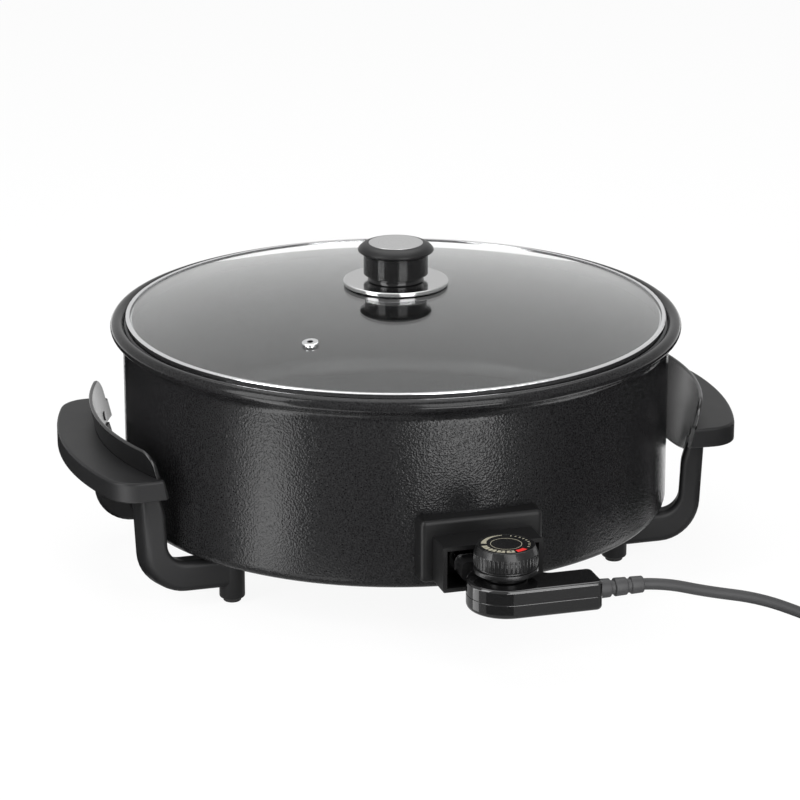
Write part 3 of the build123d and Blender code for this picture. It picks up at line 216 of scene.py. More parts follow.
casing_finish = hammered_paint()

# %% [markdown]
# ### Mouldings
# Handles and shroud are satin phenolic with a fine grain, dial and control are a glossier black, and cord
# and feet are soft rubber. They differ in roughness, grain and shine, so one function makes them all. The
# prints on the dial are made the same way, in cream and red.

# %% Mouldings
WEAR_PER_METRE, SHADE_DARK, SHADE_PALE = 45.0, 0.85, 1.15


def moulding(name, colour, rough_low, rough_high, grain_per_metre, grain_depth, shine):
    """Moulded plastic: a grain bump, and a roughness and a shade that wander between two limits."""
    material, shader = new_finish(name, colour, rough_low, shine=shine)
    place = place_of(shader)
    worn = noise_on(place, WEAR_PER_METRE, WEAR_DETAIL)
    dark = [share * SHADE_DARK for share in colour]
    pale = [share * SHADE_PALE for share in colour]
    fill(shader, {"Base Color": tint(worn, dark, pale), "Roughness": spread(worn, rough_low, rough_high)})
    bump_on(shader, noise_on(place, grain_per_metre, GRAIN_DETAIL), grain_depth)
    return material


SATIN_BLACK = (0.009, 0.009, 0.0094)
GLOSS_BLACK = (0.005, 0.005, 0.0052)
# Name, colour, roughness from and to, grain to the metre, its depth in metres, shine.
handle_finish = moulding("satin_black_phenolic", SATIN_BLACK, 0.4, 0.48, 2200.0, 0.00002, 0.17)
guard_finish = moulding("smooth_black_phenolic", GLOSS_BLACK, 0.22, 0.28, 2200.0, 0.000004, 0.45)
shroud_finish = moulding("matt_black_phenolic", GLOSS_BLACK, 0.4, 0.5, 1800.0, 0.00002, 0.18)
housing_finish = moulding("gloss_black_plastic", GLOSS_BLACK, 0.06, 0.1, 900.0, 0.000002, 0.5)
dial_finish = moulding("dial_black_plastic", GLOSS_BLACK, 0.22, 0.28, 900.0, 0.000003, 0.26)
cord_finish = moulding("black_cord_rubber", (0.03, 0.03, 0.031), 0.45, 0.55, 1500.0, 0.00002, 0.3)
foot_finish = moulding("black_foot_rubber", (0.02, 0.02, 0.02), 0.6, 0.75, 1600.0, 0.00004, 0.25)
print_finish = moulding("cream_print", (0.25, 0.235, 0.18), 0.4, 0.55, 1200.0, 0.000005, 0.4)
red_finish = moulding("red_print", (0.5, 0.01, 0.008), 0.4, 0.55, 1200.0, 0.000005, 0.4)

# %% [markdown]
# ### Knob
# The lid's knob is moulded in one piece, but only its body is polished: the broad rim that the fingers
# hold is satin. The roughness therefore changes with height, just below the rim.

# %% Knob finish
POLISHED_BELOW, SATIN_ABOVE = 8.5, 6.0
KNOB_POLISH, KNOB_SATIN, KNOB_WEAR = 0.1, 0.36, 0.06
KNOB_PATCHES, KNOB_GRAIN, KNOB_GRAIN_DEPTH = 70.0, 1500.0, 0.000004


def knob_plastic():
    """Black plastic, polished below one depth under its top and satin above another."""
    material, shader = new_finish("knob_black_plastic", GLOSS_BLACK, 0.12, shine=0.25)
    place = place_of(shader)
    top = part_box("knob_body")[1][2]
    change = top - POLISHED_BELOW * MM, top - SATIN_ABOVE * MM
    satin = spread(axes_of(place)["Z"], KNOB_POLISH, KNOB_SATIN, *change)
    worn = math_on("MULTIPLY", noise_on(place, KNOB_PATCHES), KNOB_WEAR)
    fill(shader, {"Roughness": math_on("ADD", satin, worn)})
    bump_on(shader, noise_on(place, KNOB_GRAIN, GRAIN_DETAIL), KNOB_GRAIN_DEPTH)
    return material


knob_finish = knob_plastic()

# %% [markdown]
# ### Metals
# The lid's ring, the plate under the knob and the eyelet are polished steel. The disc in the knob is
# spun, with fine rings round its centre, so its grain is a noise that changes only with the distance from
# the pan's axis. Screws and inner metal parts are duller.

# %% Metals
SPUN_PER_METRE, SPUN_DEPTH, SPUN_ROUGHNESS = 2600.0, 0.00001, (0.22, 0.42)
STEEL_PATCHES = 80.0


def steel(name, colour, rough_low, rough_high, grain_per_metre=900.0, grain_depth=0.000004):
    """Metal with a slightly wandering roughness and a faint grain."""
    material, shader = new_finish(name, colour, rough_low, 1.0)
    place = place_of(shader)
    fill(shader, {"Roughness": spread(noise_on(place, STEEL_PATCHES, WEAR_DETAIL), rough_low, rough_high)})
    bump_on(shader, noise_on(place, grain_per_metre, GRAIN_DETAIL), grain_depth)
    return material


def spun_steel():
    """Steel turned on a lathe: rings of noise about the pan's axis, from the radius alone."""
    material, shader = new_finish("spun_steel", (0.47, 0.47, 0.47), 0.3, 1.0)
    point = axes_of(place_of(shader))
    side = math_on("SUBTRACT", point["Y"], pan_y * MM)
    squares = [math_on("MULTIPLY", socket, socket) for socket in (point["X"], side)]
    rings = new_node(shader, "TexNoise")
    rings.noise_dimensions = "1D"
    fill(rings, {"W": math_on("SQRT", math_on("ADD", *squares)), "Scale": SPUN_PER_METRE})
    fill(shader, {"Roughness": spread(rings.outputs["Fac"], *SPUN_ROUGHNESS)})
    bump_on(shader, rings.outputs["Fac"], SPUN_DEPTH)
    return material


polished_finish = steel("polished_steel", (0.72, 0.72, 0.73), 0.08, 0.16)
spun_finish = spun_steel()
screw_finish = steel("zinc_plated_steel", (0.55, 0.55, 0.54), 0.3, 0.45, 500.0, 0.00002)
sheath_finish = steel("dull_element_sheath", (0.25, 0.24, 0.23), 0.4, 0.6, 600.0, 0.00003)
sheet_finish = steel("bright_aluminium_sheet", (0.8, 0.8, 0.8), 0.2, 0.35, 300.0, 0.00003)
plate_finish = steel("bright_plate_steel", (0.52, 0.52, 0.52), 0.12, 0.16, 300.0, 0.000001)
brass_finish = steel("nickel_plated_brass", (0.72, 0.68, 0.6), 0.18, 0.3)

# %% [markdown]
# ### Glass, pan coat and small parts
# The lid is clear glass with a very slight grey. The cooking pan has a dark non-stick coat with fine pale
# flecks, the terminal bushes are glazed ceramic, and the thermostat is a brown moulded block.

# %% Glass, coat and ceramic
GLASS_INDEX, RIPPLES_PER_METRE, RIPPLE_DEPTH = 1.5, 9.0, 0.00002
FLECKS_PER_METRE, FLECK_LIMIT = 900.0, 0.7
COAT_GRAIN, COAT_GRAIN_DEPTH = 1400.0, 0.00003


def lid_glass_finish():
    """Clear glass, a touch grey, with a hardly visible ripple from tempering."""
    material, shader = new_finish("clear_tempered_glass", (0.86, 0.875, 0.87), 0.0)
    fill(shader, {"Transmission Weight": 1.0, "IOR": GLASS_INDEX})
    bump_on(shader, noise_on(place_of(shader), RIPPLES_PER_METRE, PLAIN_DETAIL), RIPPLE_DEPTH)
    return material


def nonstick_coat():
    """Dark coat with pale flecks where a fine noise peaks."""
    material, shader = new_finish("dark_nonstick_coat", (0.02, 0.02, 0.02), 0.45)
    place = place_of(shader)
    flecks = math_on("GREATER_THAN", noise_on(place, FLECKS_PER_METRE, PLAIN_DETAIL), FLECK_LIMIT)
    fill(shader, {"Base Color": tint(flecks, (0.016, 0.016, 0.017), (0.1, 0.1, 0.1))})
    bump_on(shader, noise_on(place, COAT_GRAIN), COAT_GRAIN_DEPTH)
    return material


glass_finish = lid_glass_finish()
coat_finish = nonstick_coat()
ceramic_finish = moulding("glazed_ceramic", (0.6, 0.58, 0.54), 0.15, 0.25, 400.0, 0.00002, 0.5)
switch_finish = moulding("brown_switch_block", (0.13, 0.08, 0.05), 0.35, 0.5, 900.0, 0.00003, 0.4)

# %% [markdown]
# ## Surfaces from arrays
# The CAD pieces carry the sizes. Where the eye expects softer edges than a plain solid has, on handles,
# housing, dial and plug, a new surface takes the CAD piece's place. Modelling it by hand in edit mode
# would work too, but here every surface is an array: an outline or a profile is worked out once, then
# carried upwards, along a path or round an axis, and the grid of points becomes faces in one go.

# %% Places of CAD nodes
AXIS_SHIFT = np.array([0.0, pan_y, 0.0])


def spot(node):
    """Lowest and highest corner of a CAD node, in millimetres from the pan's axis."""
    low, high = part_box(node)
    return np.array(low) / MM - AXIS_SHIFT, np.array(high) / MM - AXIS_SHIFT


# %% Outlines
def unit(vectors):
    """Vectors at length one."""
    return vectors / np.maximum(np.linalg.norm(vectors, axis=-1, keepdims=True), 1e-9)


def rounded(corners, radii, steps=6):
    """Closed outlines with arcs for corners: each arc's centre lies on the corner's bisector, at the radius
    over the sine of half the angle, and its points turn evenly from one side's tangent to the other's."""
    points = np.asarray(corners, float)
    radius = np.asarray(radii, float)
    back = unit(np.roll(points, 1, axis=-2) - points)
    ahead = unit(np.roll(points, -1, axis=-2) - points)
    half = np.arccos(np.clip((back * ahead).sum(-1), -1, 1)) / 2
    centre = points + unit(back + ahead) * (radius / np.sin(half))[..., None]
    reach = (radius / np.tan(half))[..., None]
    first = (points + back * reach - centre)[..., None, :]
    last = (points + ahead * reach - centre)[..., None, :]
    turn = np.maximum(np.pi - 2 * half, 1e-6)[..., None]
    share = np.linspace(0, 1, steps + 1)
    from_first = (np.sin((1 - share) * turn) / np.sin(turn))[..., None]
    from_last = (np.sin(share * turn) / np.sin(turn))[..., None]
    arcs = centre[..., None, :] + from_first * first + from_last * last
    return arcs.reshape(*points.shape[:-2], -1, 2)


def drawn_in(corners, radii, insets, steps=6):
    """Copies of a closed outline, drawn in by several insets: every side moves inwards by the inset, so a
    corner moves along the sum of its sides' normals. Round corners shrink with it and hollow ones grow."""
    points = np.asarray(corners, float)
    radius = np.asarray(radii, float)
    before = unit(points - np.roll(points, 1, axis=0))
    after = np.roll(before, -1, axis=0)
    bend = before[:, 0] * after[:, 1] - before[:, 1] * after[:, 0]
    sense = np.sign(bend.sum())
    normals = sense * np.column_stack([-before[:, 1], before[:, 0]])
    both = normals + np.roll(normals, -1, axis=0)
    shift = 2 * both / (both**2).sum(1, keepdims=True)
    inset = np.asarray(insets, float)[:, None]
    moved = points + inset[..., None] * shift
    size = np.maximum(radius - inset * np.sign(sense * bend), 0) * (radius > 0)
    return rounded(moved, size, steps)


def soft_edges(low, high, low_round, high_round, steps=5, hold=0.3):
    """Heights and insets of a slab with rounded edges: quarter circles at both ends, and a close row on
    each flat beside them, so that flats stay flat where the shading is smooth."""
    turn = np.linspace(0, np.pi / 2, steps + 1)
    foot = low + low_round * (1 - np.cos(turn))
    foot_inset = low_round * (1 - np.sin(turn))
    top = high - high_round * (1 - np.cos(turn[::-1]))
    top_inset = high_round * (1 - np.sin(turn[::-1]))
    heights = np.concatenate([[low], foot, [foot[-1] + hold, top[0] - hold], top, [high]])
    insets = np.concatenate([[low_round + hold], foot_inset, [0, 0], top_inset, [high_round + hold]])
    return heights, insets


# %% Grids to meshes
def grid_faces(rows, columns, round_rows=False, round_columns=True):
    """Four-sided faces of a grid of points, joined round where a direction closes on itself."""
    row = np.arange(rows if round_rows else rows - 1)[:, None]
    column = np.arange(columns if round_columns else columns - 1)
    next_row = (row + 1) % rows
    next_column = (column + 1) % columns
    corners = [row * columns + column, row * columns + next_column]
    corners += [next_row * columns + next_column, next_row * columns + column]
    return np.stack(corners, axis=-1).reshape(-1, 4)


def stack(rings):
    """Closed shell from rings of points, one above the other, with a face over the first and the last."""
    rows, columns = rings.shape[:2]
    first = np.arange(columns)[None]
    return rings.reshape(-1, 3), [grid_faces(rows, columns), first, first + (rows - 1) * columns]


def turned(radius, height, angle):
    """Rings of a turned piece: the point at each angle is the radius times its cosine and sine, and the
    height. Radius and height may change with the angle too, as on a ribbed knob."""
    angle = np.asarray(angle)[:, None]
    radius, height, angle = np.broadcast_arrays(radius, height, angle)
    return np.stack([radius * np.cos(angle), radius * np.sin(angle), height], axis=-1)


def closed_turn(rings):
    """Shell of a turned piece: the rings close round the axis, and each profile closes on itself."""
    rows, columns = rings.shape[:2]
    return rings.reshape(-1, 3), [grid_faces(rows, columns, round_rows=True)]


def full_turn(count):
    """Angles of one full turn, evenly apart."""
    return np.linspace(0, 2 * np.pi, count, endpoint=False)


def edged(rows, steps=6):
    """Profile from rows of a radius, a height and the round of the edge there."""
    table = np.array(rows, float)
    return rounded(table[:, :2], table[:, 2], steps)


CREASE = math.radians(38)


def make_piece(name, shells, finish, body, replaced=()):
    """Put shells, in millimetres from the pan's axis, into one mesh: merge what coincides, turn the faces
    outwards, shade smooth between creases, and let the piece ride on a body."""
    points = []
    faces = []
    count = 0
    for shell_points, blocks in shells:
        for block in blocks:
            faces.extend((block + count).tolist())
        points.append(shell_points)
        count += len(shell_points)
    places = (np.concatenate(points) + AXIS_SHIFT) * MM
    mesh = bpy.data.meshes.new(name)
    mesh.from_pydata(places.tolist(), [], faces)
    work = bmesh.new()
    work.from_mesh(mesh)
    bmesh.ops.remove_doubles(work, verts=work.verts, dist=1e-6)
    bmesh.ops.recalc_face_normals(work, faces=work.faces)
    work.to_mesh(mesh)
    work.free()
    mesh.polygons.foreach_set("use_smooth", np.ones(len(mesh.polygons), bool))
    mesh.set_sharp_from_angle(angle=CREASE)
    mesh.materials.append(finish)
    piece = new_object(name, mesh)
    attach(piece, body)
    if replaced:
        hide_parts(*replaced)
    print(len(mesh.vertices), "points", len(mesh.polygons), "faces")
    return piece


# %% [markdown]
# ## Handles
# A handle is four mouldings: two L-shaped legs that reach under the pan, a crescent grip, and a thin heat
# guard between grip and pan. The CAD solids have their outlines; here the edges are rounded as a mould
# leaves them. All are drawn for the right-hand side and mirrored for the left, and turning the faces
# outwards again is left to make_piece.

# %% Handle sizes
sides = {"left": -1, "right": 1}
ends = {"front": -1, "rear": 1}
grip_low_corner, grip_high_corner = spot("handle_grip_right")
guard_low_corner, guard_high_corner = spot("heat_guard_right")
GRIP_REACH, GRIP_HALF, GRIP_TOP = grip_high_corner
GRIP_FOOT = grip_low_corner[2]
GUARD_FOOT, GUARD_TOP = guard_low_corner[2], guard_high_corner[2] + 0.8
GUARD_SHEET, GUARD_ANGLE = 2.93, math.radians(12)
GUARD_LEAN = math.tan(GUARD_ANGLE)
GUARD_RADIUS, GUARD_RADIUS_AT = 215.0, 78.0
print(f"grip reaches {GRIP_REACH:.1f} mm, guard from {GUARD_FOOT:.1f} to {GUARD_TOP:.1f} mm")


def guard_radius(z):
    """Inside radius of the leaning guard: a cone that widens with height."""
    return GUARD_RADIUS + (z - GUARD_RADIUS_AT) * GUARD_LEAN


# %% [markdown]
# ### Grip
# The grip is a crescent about the pan's own axis. Its outline is an arc outside and an arc inside, with a
# large round at the outer corners. The inner arc leans back with the guard as it rises. Below it is
# hollow, which saves plastic and gives the fingers an edge.

# %% Grips
GRIP_CORNER, GRIP_SEAT, GRIP_WALL = 22.0, 3.2, 6.0
GRIP_FOOT_EDGE, GRIP_TOP_EDGE, GRIP_INNER_CORNER = 1.2, 2.0, 2.0
HOLLOW_HALF, HOLLOW_DEPTH, HOLLOW_CORNER = 58.0, 9.0, 3.0


def crescent(inner, outer, half, corner, inner_corner, count=48):
    """Plan of a crescent: outer arc, straight ends and inner arc. Near each end the outer arc gives way to
    a corner circle that touches it, whose middle lies one corner radius inside both arc and end."""
    y = half * np.sin(np.linspace(-np.pi / 2, np.pi / 2, count))
    middle_y = half - corner
    middle_x = math.sqrt((outer - corner) ** 2 - middle_y**2)
    touch = outer / (outer - corner) * middle_y
    on_corner = middle_x + np.sqrt(np.maximum(corner**2 - (np.abs(y) - middle_y) ** 2, 0))
    x = np.where(np.abs(y) > touch, on_corner, np.sqrt(outer**2 - y**2))
    inner_y = np.linspace(half, -half, count)
    inner_x = np.sqrt(inner**2 - inner_y**2)
    corners = np.column_stack([np.append(x, inner_x), np.append(y, inner_y)])
    radii = np.zeros(len(corners))
    radii[[count, 2 * count - 1]] = inner_corner
    return corners, radii


def grip_shell():
    """Rings of the grip from the hollow's ceiling, down its wall, across the foot and up the outside to the
    top. The inner arc isn't drawn in, because it meets the guard. A point moves out with height by the
    guard's lean, the more the nearer it is to the inner arc."""
    seat = guard_radius(GRIP_FOOT) + GRIP_SEAT
    heights, insets = soft_edges(GRIP_FOOT, GRIP_TOP, GRIP_FOOT_EDGE, GRIP_TOP_EDGE)
    outer_plan = crescent(seat, GRIP_REACH, GRIP_HALF, GRIP_CORNER, GRIP_INNER_CORNER)
    outside = drawn_in(*outer_plan, insets)
    inner = outside[:, outside.shape[1] // 2 :]
    inner *= seat / np.linalg.norm(inner, axis=-1, keepdims=True)
    hollow_ends = seat + GRIP_WALL, GRIP_REACH - GRIP_WALL
    hollow_plan = crescent(*hollow_ends, HOLLOW_HALF, HOLLOW_CORNER, GRIP_INNER_CORNER)
    plan = np.concatenate([drawn_in(*hollow_plan, [0, 0]), outside])
    z = np.concatenate([[GRIP_FOOT + HOLLOW_DEPTH, GRIP_FOOT], heights])[:, None]
    reach = np.hypot(plan[..., 0], plan[..., 1])
    inner_share = np.clip((GRIP_REACH - reach) / (GRIP_REACH - seat), 0, 1) ** 2
    out = inner_share * (z - GRIP_FOOT) * GUARD_LEAN / reach
    return np.dstack([plan * (1 + out[..., None]), np.broadcast_to(z, reach.shape)])


def mirrored(rings, x=1, y=1):
    """The same rings on another side of the pan."""
    return rings * np.array([x, y, 1.0])


for name, side in sides.items():
    shells = [stack(mirrored(grip_shell(), side))]
    replaced = [f"handle_grip_{name}"]
    make_piece(f"grip_{name}_moulding", shells, handle_finish, "pan", replaced)

# %% [markdown]
# ### Heat guard
# The guard is a thin sheet, bent round the pan and leaning outwards, whose apron hangs between the legs.
# It is a row of upright sections, one at each place along the handle: a slim rectangle with rounded
# edges, from the lower edge to the upper edge there. Solidify and Bevel could thicken a plain sheet too,
# but their rounding breaks up at the short steps near the ends.

# %% Heat guards
GUARD_HALF, GUARD_CORNER, GUARD_EDGE = 92.0, 11.0, 1.2
SHOULDER_HALF, SHOULDER_STEP = guard_high_corner[1], 0.3
APRON_SIDE, APRON_DROP, APRON_RUN = 60.0, 10.0, 8.0
WING_FOOT = GRIP_FOOT + 0.2
LEVEL_POINTS, CORNER_POINTS = 24, 10


def guard_shell():
    """Rings of the guard. The upper edge is level, falls in a quarter circle at each end and drops to a
    shoulder; the lower edge is a shallow arc that rises softly to the wings. A section's point lies on the
    leaning cone at its height, moved out square to the cone by its depth in the sheet."""
    level = GUARD_HALF - GUARD_CORNER
    corner = level + GUARD_CORNER * np.sin(np.linspace(0, np.pi / 2, CORNER_POINTS))[1:]
    shoulder = [GUARD_HALF + SHOULDER_STEP, SHOULDER_HALF]
    right = np.concatenate([np.linspace(0, level, LEVEL_POINTS), corner, shoulder])
    y = np.concatenate([-right[:0:-1], right])
    size = np.abs(y)
    past = np.clip(size - level, 0, GUARD_CORNER)
    upper = GUARD_TOP - GUARD_CORNER + np.sqrt(GUARD_CORNER**2 - past**2)
    upper = np.where(size > GUARD_HALF + SHOULDER_STEP / 2, GRIP_TOP, upper)
    arc = GUARD_FOOT + APRON_DROP * (size / APRON_SIDE) ** 2
    step = np.clip((size - APRON_SIDE) / APRON_RUN, 0, 1)
    step = step * step * (3 - 2 * step)
    wing = (1 - step) * (GUARD_FOOT + APRON_DROP) + step * WING_FOOT
    lower = np.where(size > APRON_SIDE, wing, arc)
    hold = 2 * GUARD_EDGE
    heights = [lower, lower, lower + hold, upper - hold, upper, upper, upper - hold, lower + hold]
    height = np.column_stack(heights)
    depth = np.broadcast_to(GUARD_SHEET * np.array([0, 1, 1, 1, 1, 0, 0, 0]), height.shape)
    radii = np.broadcast_to(GUARD_EDGE * np.array([1, 1, 0, 0, 1, 1, 0, 0]), height.shape)
    section = rounded(np.stack([depth, height], axis=-1), radii, steps=4)
    depth, z = section[..., 0], section[..., 1]
    reach = guard_radius(z)
    along = y[:, None]
    out = 1 + depth * math.cos(GUARD_ANGLE) / reach
    x = np.sqrt(reach**2 - along**2)
    return np.stack([x * out, along * out, z - depth * math.sin(GUARD_ANGLE)], axis=-1)


for name, side in sides.items():
    shells = [stack(mirrored(guard_shell(), side))]
    replaced = [f"heat_guard_{name}"]
    make_piece(f"guard_{name}_moulding", shells, guard_finish, "pan", replaced)

# %% [markdown]
# ### Guard screws
# One screw near each end holds the guard to grip and leg. Its head is low and black, so that it hardly
# shows on the guard's face. A screw is turned about its own line, which stands square on the leaning
# guard.

# %% Guard screws
LEG_X, LEG_Y = 206.0, 78.0
SCREW_RISE, SCREW_HEAD, SCREW_PROUD, SCREW_ROUND = 7.0, 3.6, 0.7, 0.6
SCREW_SEAT, SCREW_SHANK, SCREW_LENGTH, SCREW_POINTS = 0.3, 1.9, 11.5, 32


def guard_screw(side, end):
    """Screw as a turned profile: along its line by the height, and across it by two directions square to
    the line, one level and one up the guard."""
    rows = [
        (0, -SCREW_PROUD, 0),
        (SCREW_HEAD, -SCREW_PROUD, SCREW_ROUND),
        (SCREW_HEAD, SCREW_SEAT, 0),
        (SCREW_SHANK, SCREW_SEAT, 0),
        (SCREW_SHANK, SCREW_LENGTH, 0),
        (0, SCREW_LENGTH, 0),
    ]
    profile = edged(rows)
    rings = turned(profile[:, 0], profile[:, 1], full_turn(SCREW_POINTS))
    z = GRIP_FOOT + SCREW_RISE
    turn = math.asin(LEG_Y / guard_radius(z))
    level = np.array([-math.sin(turn), math.cos(turn), 0.0])
    steep = unit(np.array([GUARD_LEAN * math.cos(turn), GUARD_LEAN * math.sin(turn), 1.0]))
    line = np.cross(level, steep)
    foot = np.array([guard_radius(z) * math.cos(turn), LEG_Y, z])
    points = foot + rings[..., :1] * level + rings[..., 1:2] * steep + rings[..., 2:] * line
    return closed_turn(mirrored(points, side, end))


screws = [guard_screw(side, end) for side in sides.values() for end in ends.values()]
make_piece("guard_screw_set", screws, guard_finish, "pan", ["guard_screws"])

# %% [markdown]
# ### Legs
# A leg is an L in side view: a bar under the pan, a large elbow, and an upright that leans out to the
# grip. The bar ends in a round boss that takes the foot and the screw. The L is carried along the pan's
# side and slants with it, so its rings are sheared copies of one outline.

# %% Legs
LEG_INNER, LEG_NECK, LEG_OUTER = -10.6, -6.9, 6.55
LEG_DEPTH, LEG_EDGE = 17.0, 4.6
LEG_TOP, NECK_DROP, NECK_ROUND = GRIP_FOOT + 0.4, 16.0, 20.0
LEG_LEAN, LEG_SKEW = math.tan(math.radians(2.8)), -LEG_Y / LEG_X
BAR_FOOT, BAR_TOP = 12.5, 35.5
ELBOW_OUTER, ELBOW_INNER = 30.0, 14.0
BOSS_X, BOSS_RADIUS, BOSS_EDGE, BOSS_TOP_EDGE = 146.0, 9.3, 1.6, 0.4
BOSS_FOOT, BOSS_POINTS = spot("handle_leg_rear_right")[0][2], 48


def leg_edge(z, offset):
    """x of the upright's inner or outer face at a height: it leans outwards from the elbow up."""
    return LEG_X + offset + (z - BAR_TOP) * LEG_LEAN


def leg_shells(side, end):
    """The L as sheared copies of its outline, and the boss as a turned post."""
    neck_foot = LEG_TOP - NECK_DROP
    corners = [
        (BOSS_X, BAR_FOOT),
        (leg_edge(BAR_FOOT, LEG_OUTER), BAR_FOOT),
        (leg_edge(LEG_TOP, LEG_OUTER), LEG_TOP),
        (leg_edge(LEG_TOP, LEG_NECK), LEG_TOP),
        (leg_edge(neck_foot, LEG_INNER), neck_foot),
        (leg_edge(BAR_TOP, LEG_INNER), BAR_TOP),
        (BOSS_X, BAR_TOP),
    ]
    depths, insets = soft_edges(-LEG_DEPTH / 2, LEG_DEPTH / 2, LEG_EDGE, LEG_EDGE)
    plan = drawn_in(corners, [0, ELBOW_OUTER, 0, 0, NECK_ROUND, ELBOW_INNER, 0], insets, steps=10)
    depth = np.broadcast_to(depths[:, None], plan.shape[:2])
    bar = np.stack([plan[..., 0] + LEG_SKEW * depth, LEG_Y + depth, plan[..., 1]], axis=-1)
    rows = [
        (0, BOSS_FOOT, 0),
        (BOSS_RADIUS, BOSS_FOOT, BOSS_EDGE),
        (BOSS_RADIUS, casing_bottom, BOSS_TOP_EDGE),
        (0, casing_bottom, 0),
    ]
    post = edged(rows)
    boss = turned(post[:, 0], post[:, 1], full_turn(BOSS_POINTS)) + np.array([BOSS_X, LEG_Y, 0.0])
    return [stack(mirrored(bar, side, end)), closed_turn(mirrored(boss, side, end))]


for side_name, side in sides.items():
    for end_name, end in ends.items():
        leg = f"{end_name}_{side_name}"
        shells = leg_shells(side, end)
        replaced = [f"handle_leg_{leg}"]
        make_piece(f"leg_{leg}_moulding", shells, handle_finish, "pan", replaced)

# %% [markdown]
# ## Thermostat control
# The control is the piece that takes the most skill to mould: two gloss black shells that part on a fine
# line, round under the dial, with a square tail for the cord. Both shells are stacks of copies of one
# plan, drawn in where an edge is rounded and where the two halves meet.

# %% Housing shells
lower_low, lower_high = spot("control_lower_shell")
upper_low, upper_high = spot("control_upper_shell")
dial_low_corner, dial_high_corner = spot("dial_knob")
DIAL_X, DIAL_Y = (dial_low_corner[:2] + dial_high_corner[:2]) / 2
DIAL_AXIS = np.array([DIAL_X, DIAL_Y, 0.0])
HOUSING_ROUND = DIAL_X - lower_low[0]
HOUSING_FRONT, HOUSING_BACK = lower_low[1], lower_high[1]
HOUSING_WALL, HOUSING_CORNER = 2.2, 4.2
TAIL_END, TAIL_WIDTH, TAIL_HOLLOW = lower_high[0], 28.0, 6.0
NECK_HALF, NECK_CORNER = 19.0, 1.2
SPLIT, SEAM, UPPER_EDGE, LOWER_EDGE = upper_low[2], 0.4, 2.0, 3.5


def housing_plan():
    """Plan of the housing: an arc about the dial from the neck round to the front, then straight sides with
    rounded corners along the tail and back to the neck."""
    neck_y = math.sqrt(HOUSING_ROUND**2 - (NECK_HALF + DIAL_X) ** 2)
    start = math.atan2(neck_y, -NECK_HALF - DIAL_X)
    turn = np.linspace(start, 1.5 * np.pi, 40)
    arc = np.column_stack([DIAL_X + HOUSING_ROUND * np.cos(turn), DIAL_Y + HOUSING_ROUND * np.sin(turn)])
    tail_back = HOUSING_FRONT + TAIL_WIDTH
    side = DIAL_X + HOUSING_ROUND
    corners = [
        (TAIL_END, HOUSING_FRONT),
        (TAIL_END, tail_back),
        (side, tail_back),
        (side, HOUSING_BACK),
        (-NECK_HALF, HOUSING_BACK),
    ]
    radii = [HOUSING_CORNER, HOUSING_CORNER, TAIL_HOLLOW, HOUSING_CORNER, NECK_CORNER]
    return np.vstack([arc, corners]), np.append(np.zeros(len(arc)), radii)


def shell_rings(heights, insets):
    """Rings of a housing shell at given heights, each the plan drawn in by its inset."""
    plan = drawn_in(*housing_plan(), insets)
    z = np.broadcast_to(np.asarray(heights)[:, None], plan.shape[:2])
    return np.dstack([plan, z])


upper_z, upper_inset = soft_edges(SPLIT, upper_high[2], SEAM, UPPER_EDGE)
lower_z, lower_inset = soft_edges(lower_low[2], SPLIT, LOWER_EDGE, SEAM)
ceiling, bottom = upper_high[2] - HOUSING_WALL, lower_low[2] + HOUSING_WALL
inside = [HOUSING_WALL, HOUSING_WALL]
upper_rings = shell_rings(np.append([ceiling, SPLIT], upper_z[1:]), np.append(inside, upper_inset[1:]))
lower_rings = shell_rings(np.append(lower_z[:-1], [SPLIT, bottom]), np.append(lower_inset[:-1], inside))
for name, rings in (("upper", upper_rings), ("lower", lower_rings)):
    shells = [stack(rings)]
    replaced = [f"control_{name}_shell"]
    make_piece(f"{name}_housing_moulding", shells, housing_finish, "control", replaced)

# %% [markdown]
# ### Dial
# The dial tapers upwards, with a band of fine ribs round its middle, small flats above them, a groove
# below them and a plain skirt that stands off the housing on a hub. It is one turned grid in which the
# radius also depends on the angle: within the band each rib is a rounded ridge, so the whole dial is one
# formula.

# %% Dial
DIAL_FOOT, DIAL_TOP = dial_low_corner[2], dial_high_corner[2]
DIAL_RADIUS, DIAL_TOP_RADIUS = (dial_high_corner[0] - dial_low_corner[0]) / 2, 20.0
SHAFT_RADIUS, HUB_RADIUS, HUB_LIFT = 3.0, 15.0, 0.2
SKIRT_FOOT, SKIRT_HEIGHT = DIAL_FOOT + 4.4, 3.4
GROOVE_DEPTH, GROOVE_SLOPE = 0.9, 0.4
RIB_FOOT, RIB_TOP = SKIRT_FOOT + 5.2, DIAL_TOP - 5.0
DIAL_RIBS, RIB_HEIGHT, RIB_STEEPNESS, RIB_POINTS = 44, 0.42, 1.8, 12
RIB_END, RIB_FADE = 0.8, 0.6
FACETS, FACET_FADE = 16, 1.0
FACE_RADIUS, FACE_SINK, FACE_MARGIN = 18.2, 0.6, 0.5


